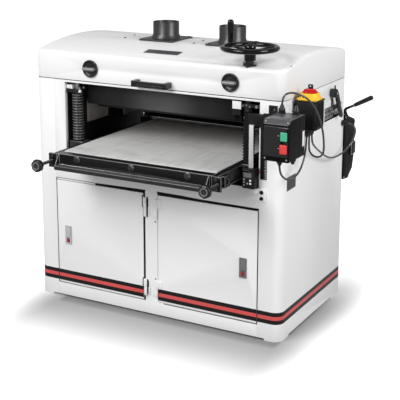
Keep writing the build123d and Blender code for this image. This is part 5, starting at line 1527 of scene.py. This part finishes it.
fnt.links.new(ramp_node(fnt, painted_shadow_fade.outputs["Result"], [(0.0, (0.24, 0.24, 0.24)), (0.008, (0.40, 0.40, 0.40)), (0.08, (0.47, 0.47, 0.47)), (0.5, (0.93, 0.93, 0.93))]), fb.inputs["Base Color"])
fnt.links.new(painted_shadow_fade.outputs["Result"], fb.inputs["Emission Strength"])
fb.inputs["Roughness"].default_value = 0.7
fb.inputs["Specular IOR Level"].default_value = 0.1
fb.inputs["Emission Color"].default_value = (1, 1, 1, 1)
fme = bpy.data.meshes.new("floor")
fme.from_pydata([(-30, -30, 0), (30, -30, 0), (30, 30, 0), (-30, 30, 0)], [], [(0, 1, 2, 3)])
fme.materials.append(fm)
floor = bpy.data.objects.new("floor", fme)
bpy.context.scene.collection.objects.link(floor)
floor.visible_diffuse = False
floor.visible_glossy = False

world = bpy.data.worlds.new("studio")
bpy.context.scene.world = world
world.use_nodes = True
wnt = world.node_tree
wnt.nodes.clear()
wout = wnt.nodes.new("ShaderNodeOutputWorld")
wtc = wnt.nodes.new("ShaderNodeTexCoord")
wsep = wnt.nodes.new("ShaderNodeSeparateXYZ")
wnt.links.new(wtc.outputs["Generated"], wsep.inputs["Vector"])
wup = range_node(wnt, wsep.outputs["Z"], 0.0, 1.0, -1.0, 1.0)
wdim = wnt.nodes.new("ShaderNodeBackground")
wnt.links.new(ramp_node(wnt, wup, [(0.0, (0.42, 0.42, 0.42)), (0.5, (0.44, 0.44, 0.44)), (0.62, (0.38, 0.38, 0.39)), (1.0, (0.30, 0.30, 0.31))]), wdim.inputs["Color"])
wseen = wnt.nodes.new("ShaderNodeBackground")
wseen.inputs["Color"].default_value = (1, 1, 1, 1)
wseen.inputs["Strength"].default_value = 1.05
wpath = wnt.nodes.new("ShaderNodeLightPath")
wmix = wnt.nodes.new("ShaderNodeMixShader")
wnt.links.new(wpath.outputs["Is Camera Ray"], wmix.inputs["Fac"])
wnt.links.new(wdim.outputs[0], wmix.inputs[1])
wnt.links.new(wseen.outputs[0], wmix.inputs[2])
wnt.links.new(wmix.outputs[0], wout.inputs[0])


def area(name, loc, target, size, power):
    ld = bpy.data.lights.new(name, "AREA")
    ld.shape = "DISK"
    ld.size = size
    ld.energy = power
    lo = bpy.data.objects.new(name, ld)
    bpy.context.scene.collection.objects.link(lo)
    lo.location = loc
    lo.rotation_mode = "QUATERNION"
    lo.rotation_quaternion = (Vector(target) - Vector(loc)).to_track_quat("-Z", "Y")
    return lo


area("key", (-1.5, -2.9, 3.3), (0.0, 0.0, 0.5), 1.8, 66)
area("front", (-0.7, -3.8, 2.7), (-0.1, 0.1, 0.66), 1.8, 73)
area("fill", (3.6, -0.6, 2.4), (0.3, 0.0, 0.5), 1.8, 92)
area("top", (0.1, 0.9, 3.4), (0.0, 0.1, 0.9), 1.6, 3)
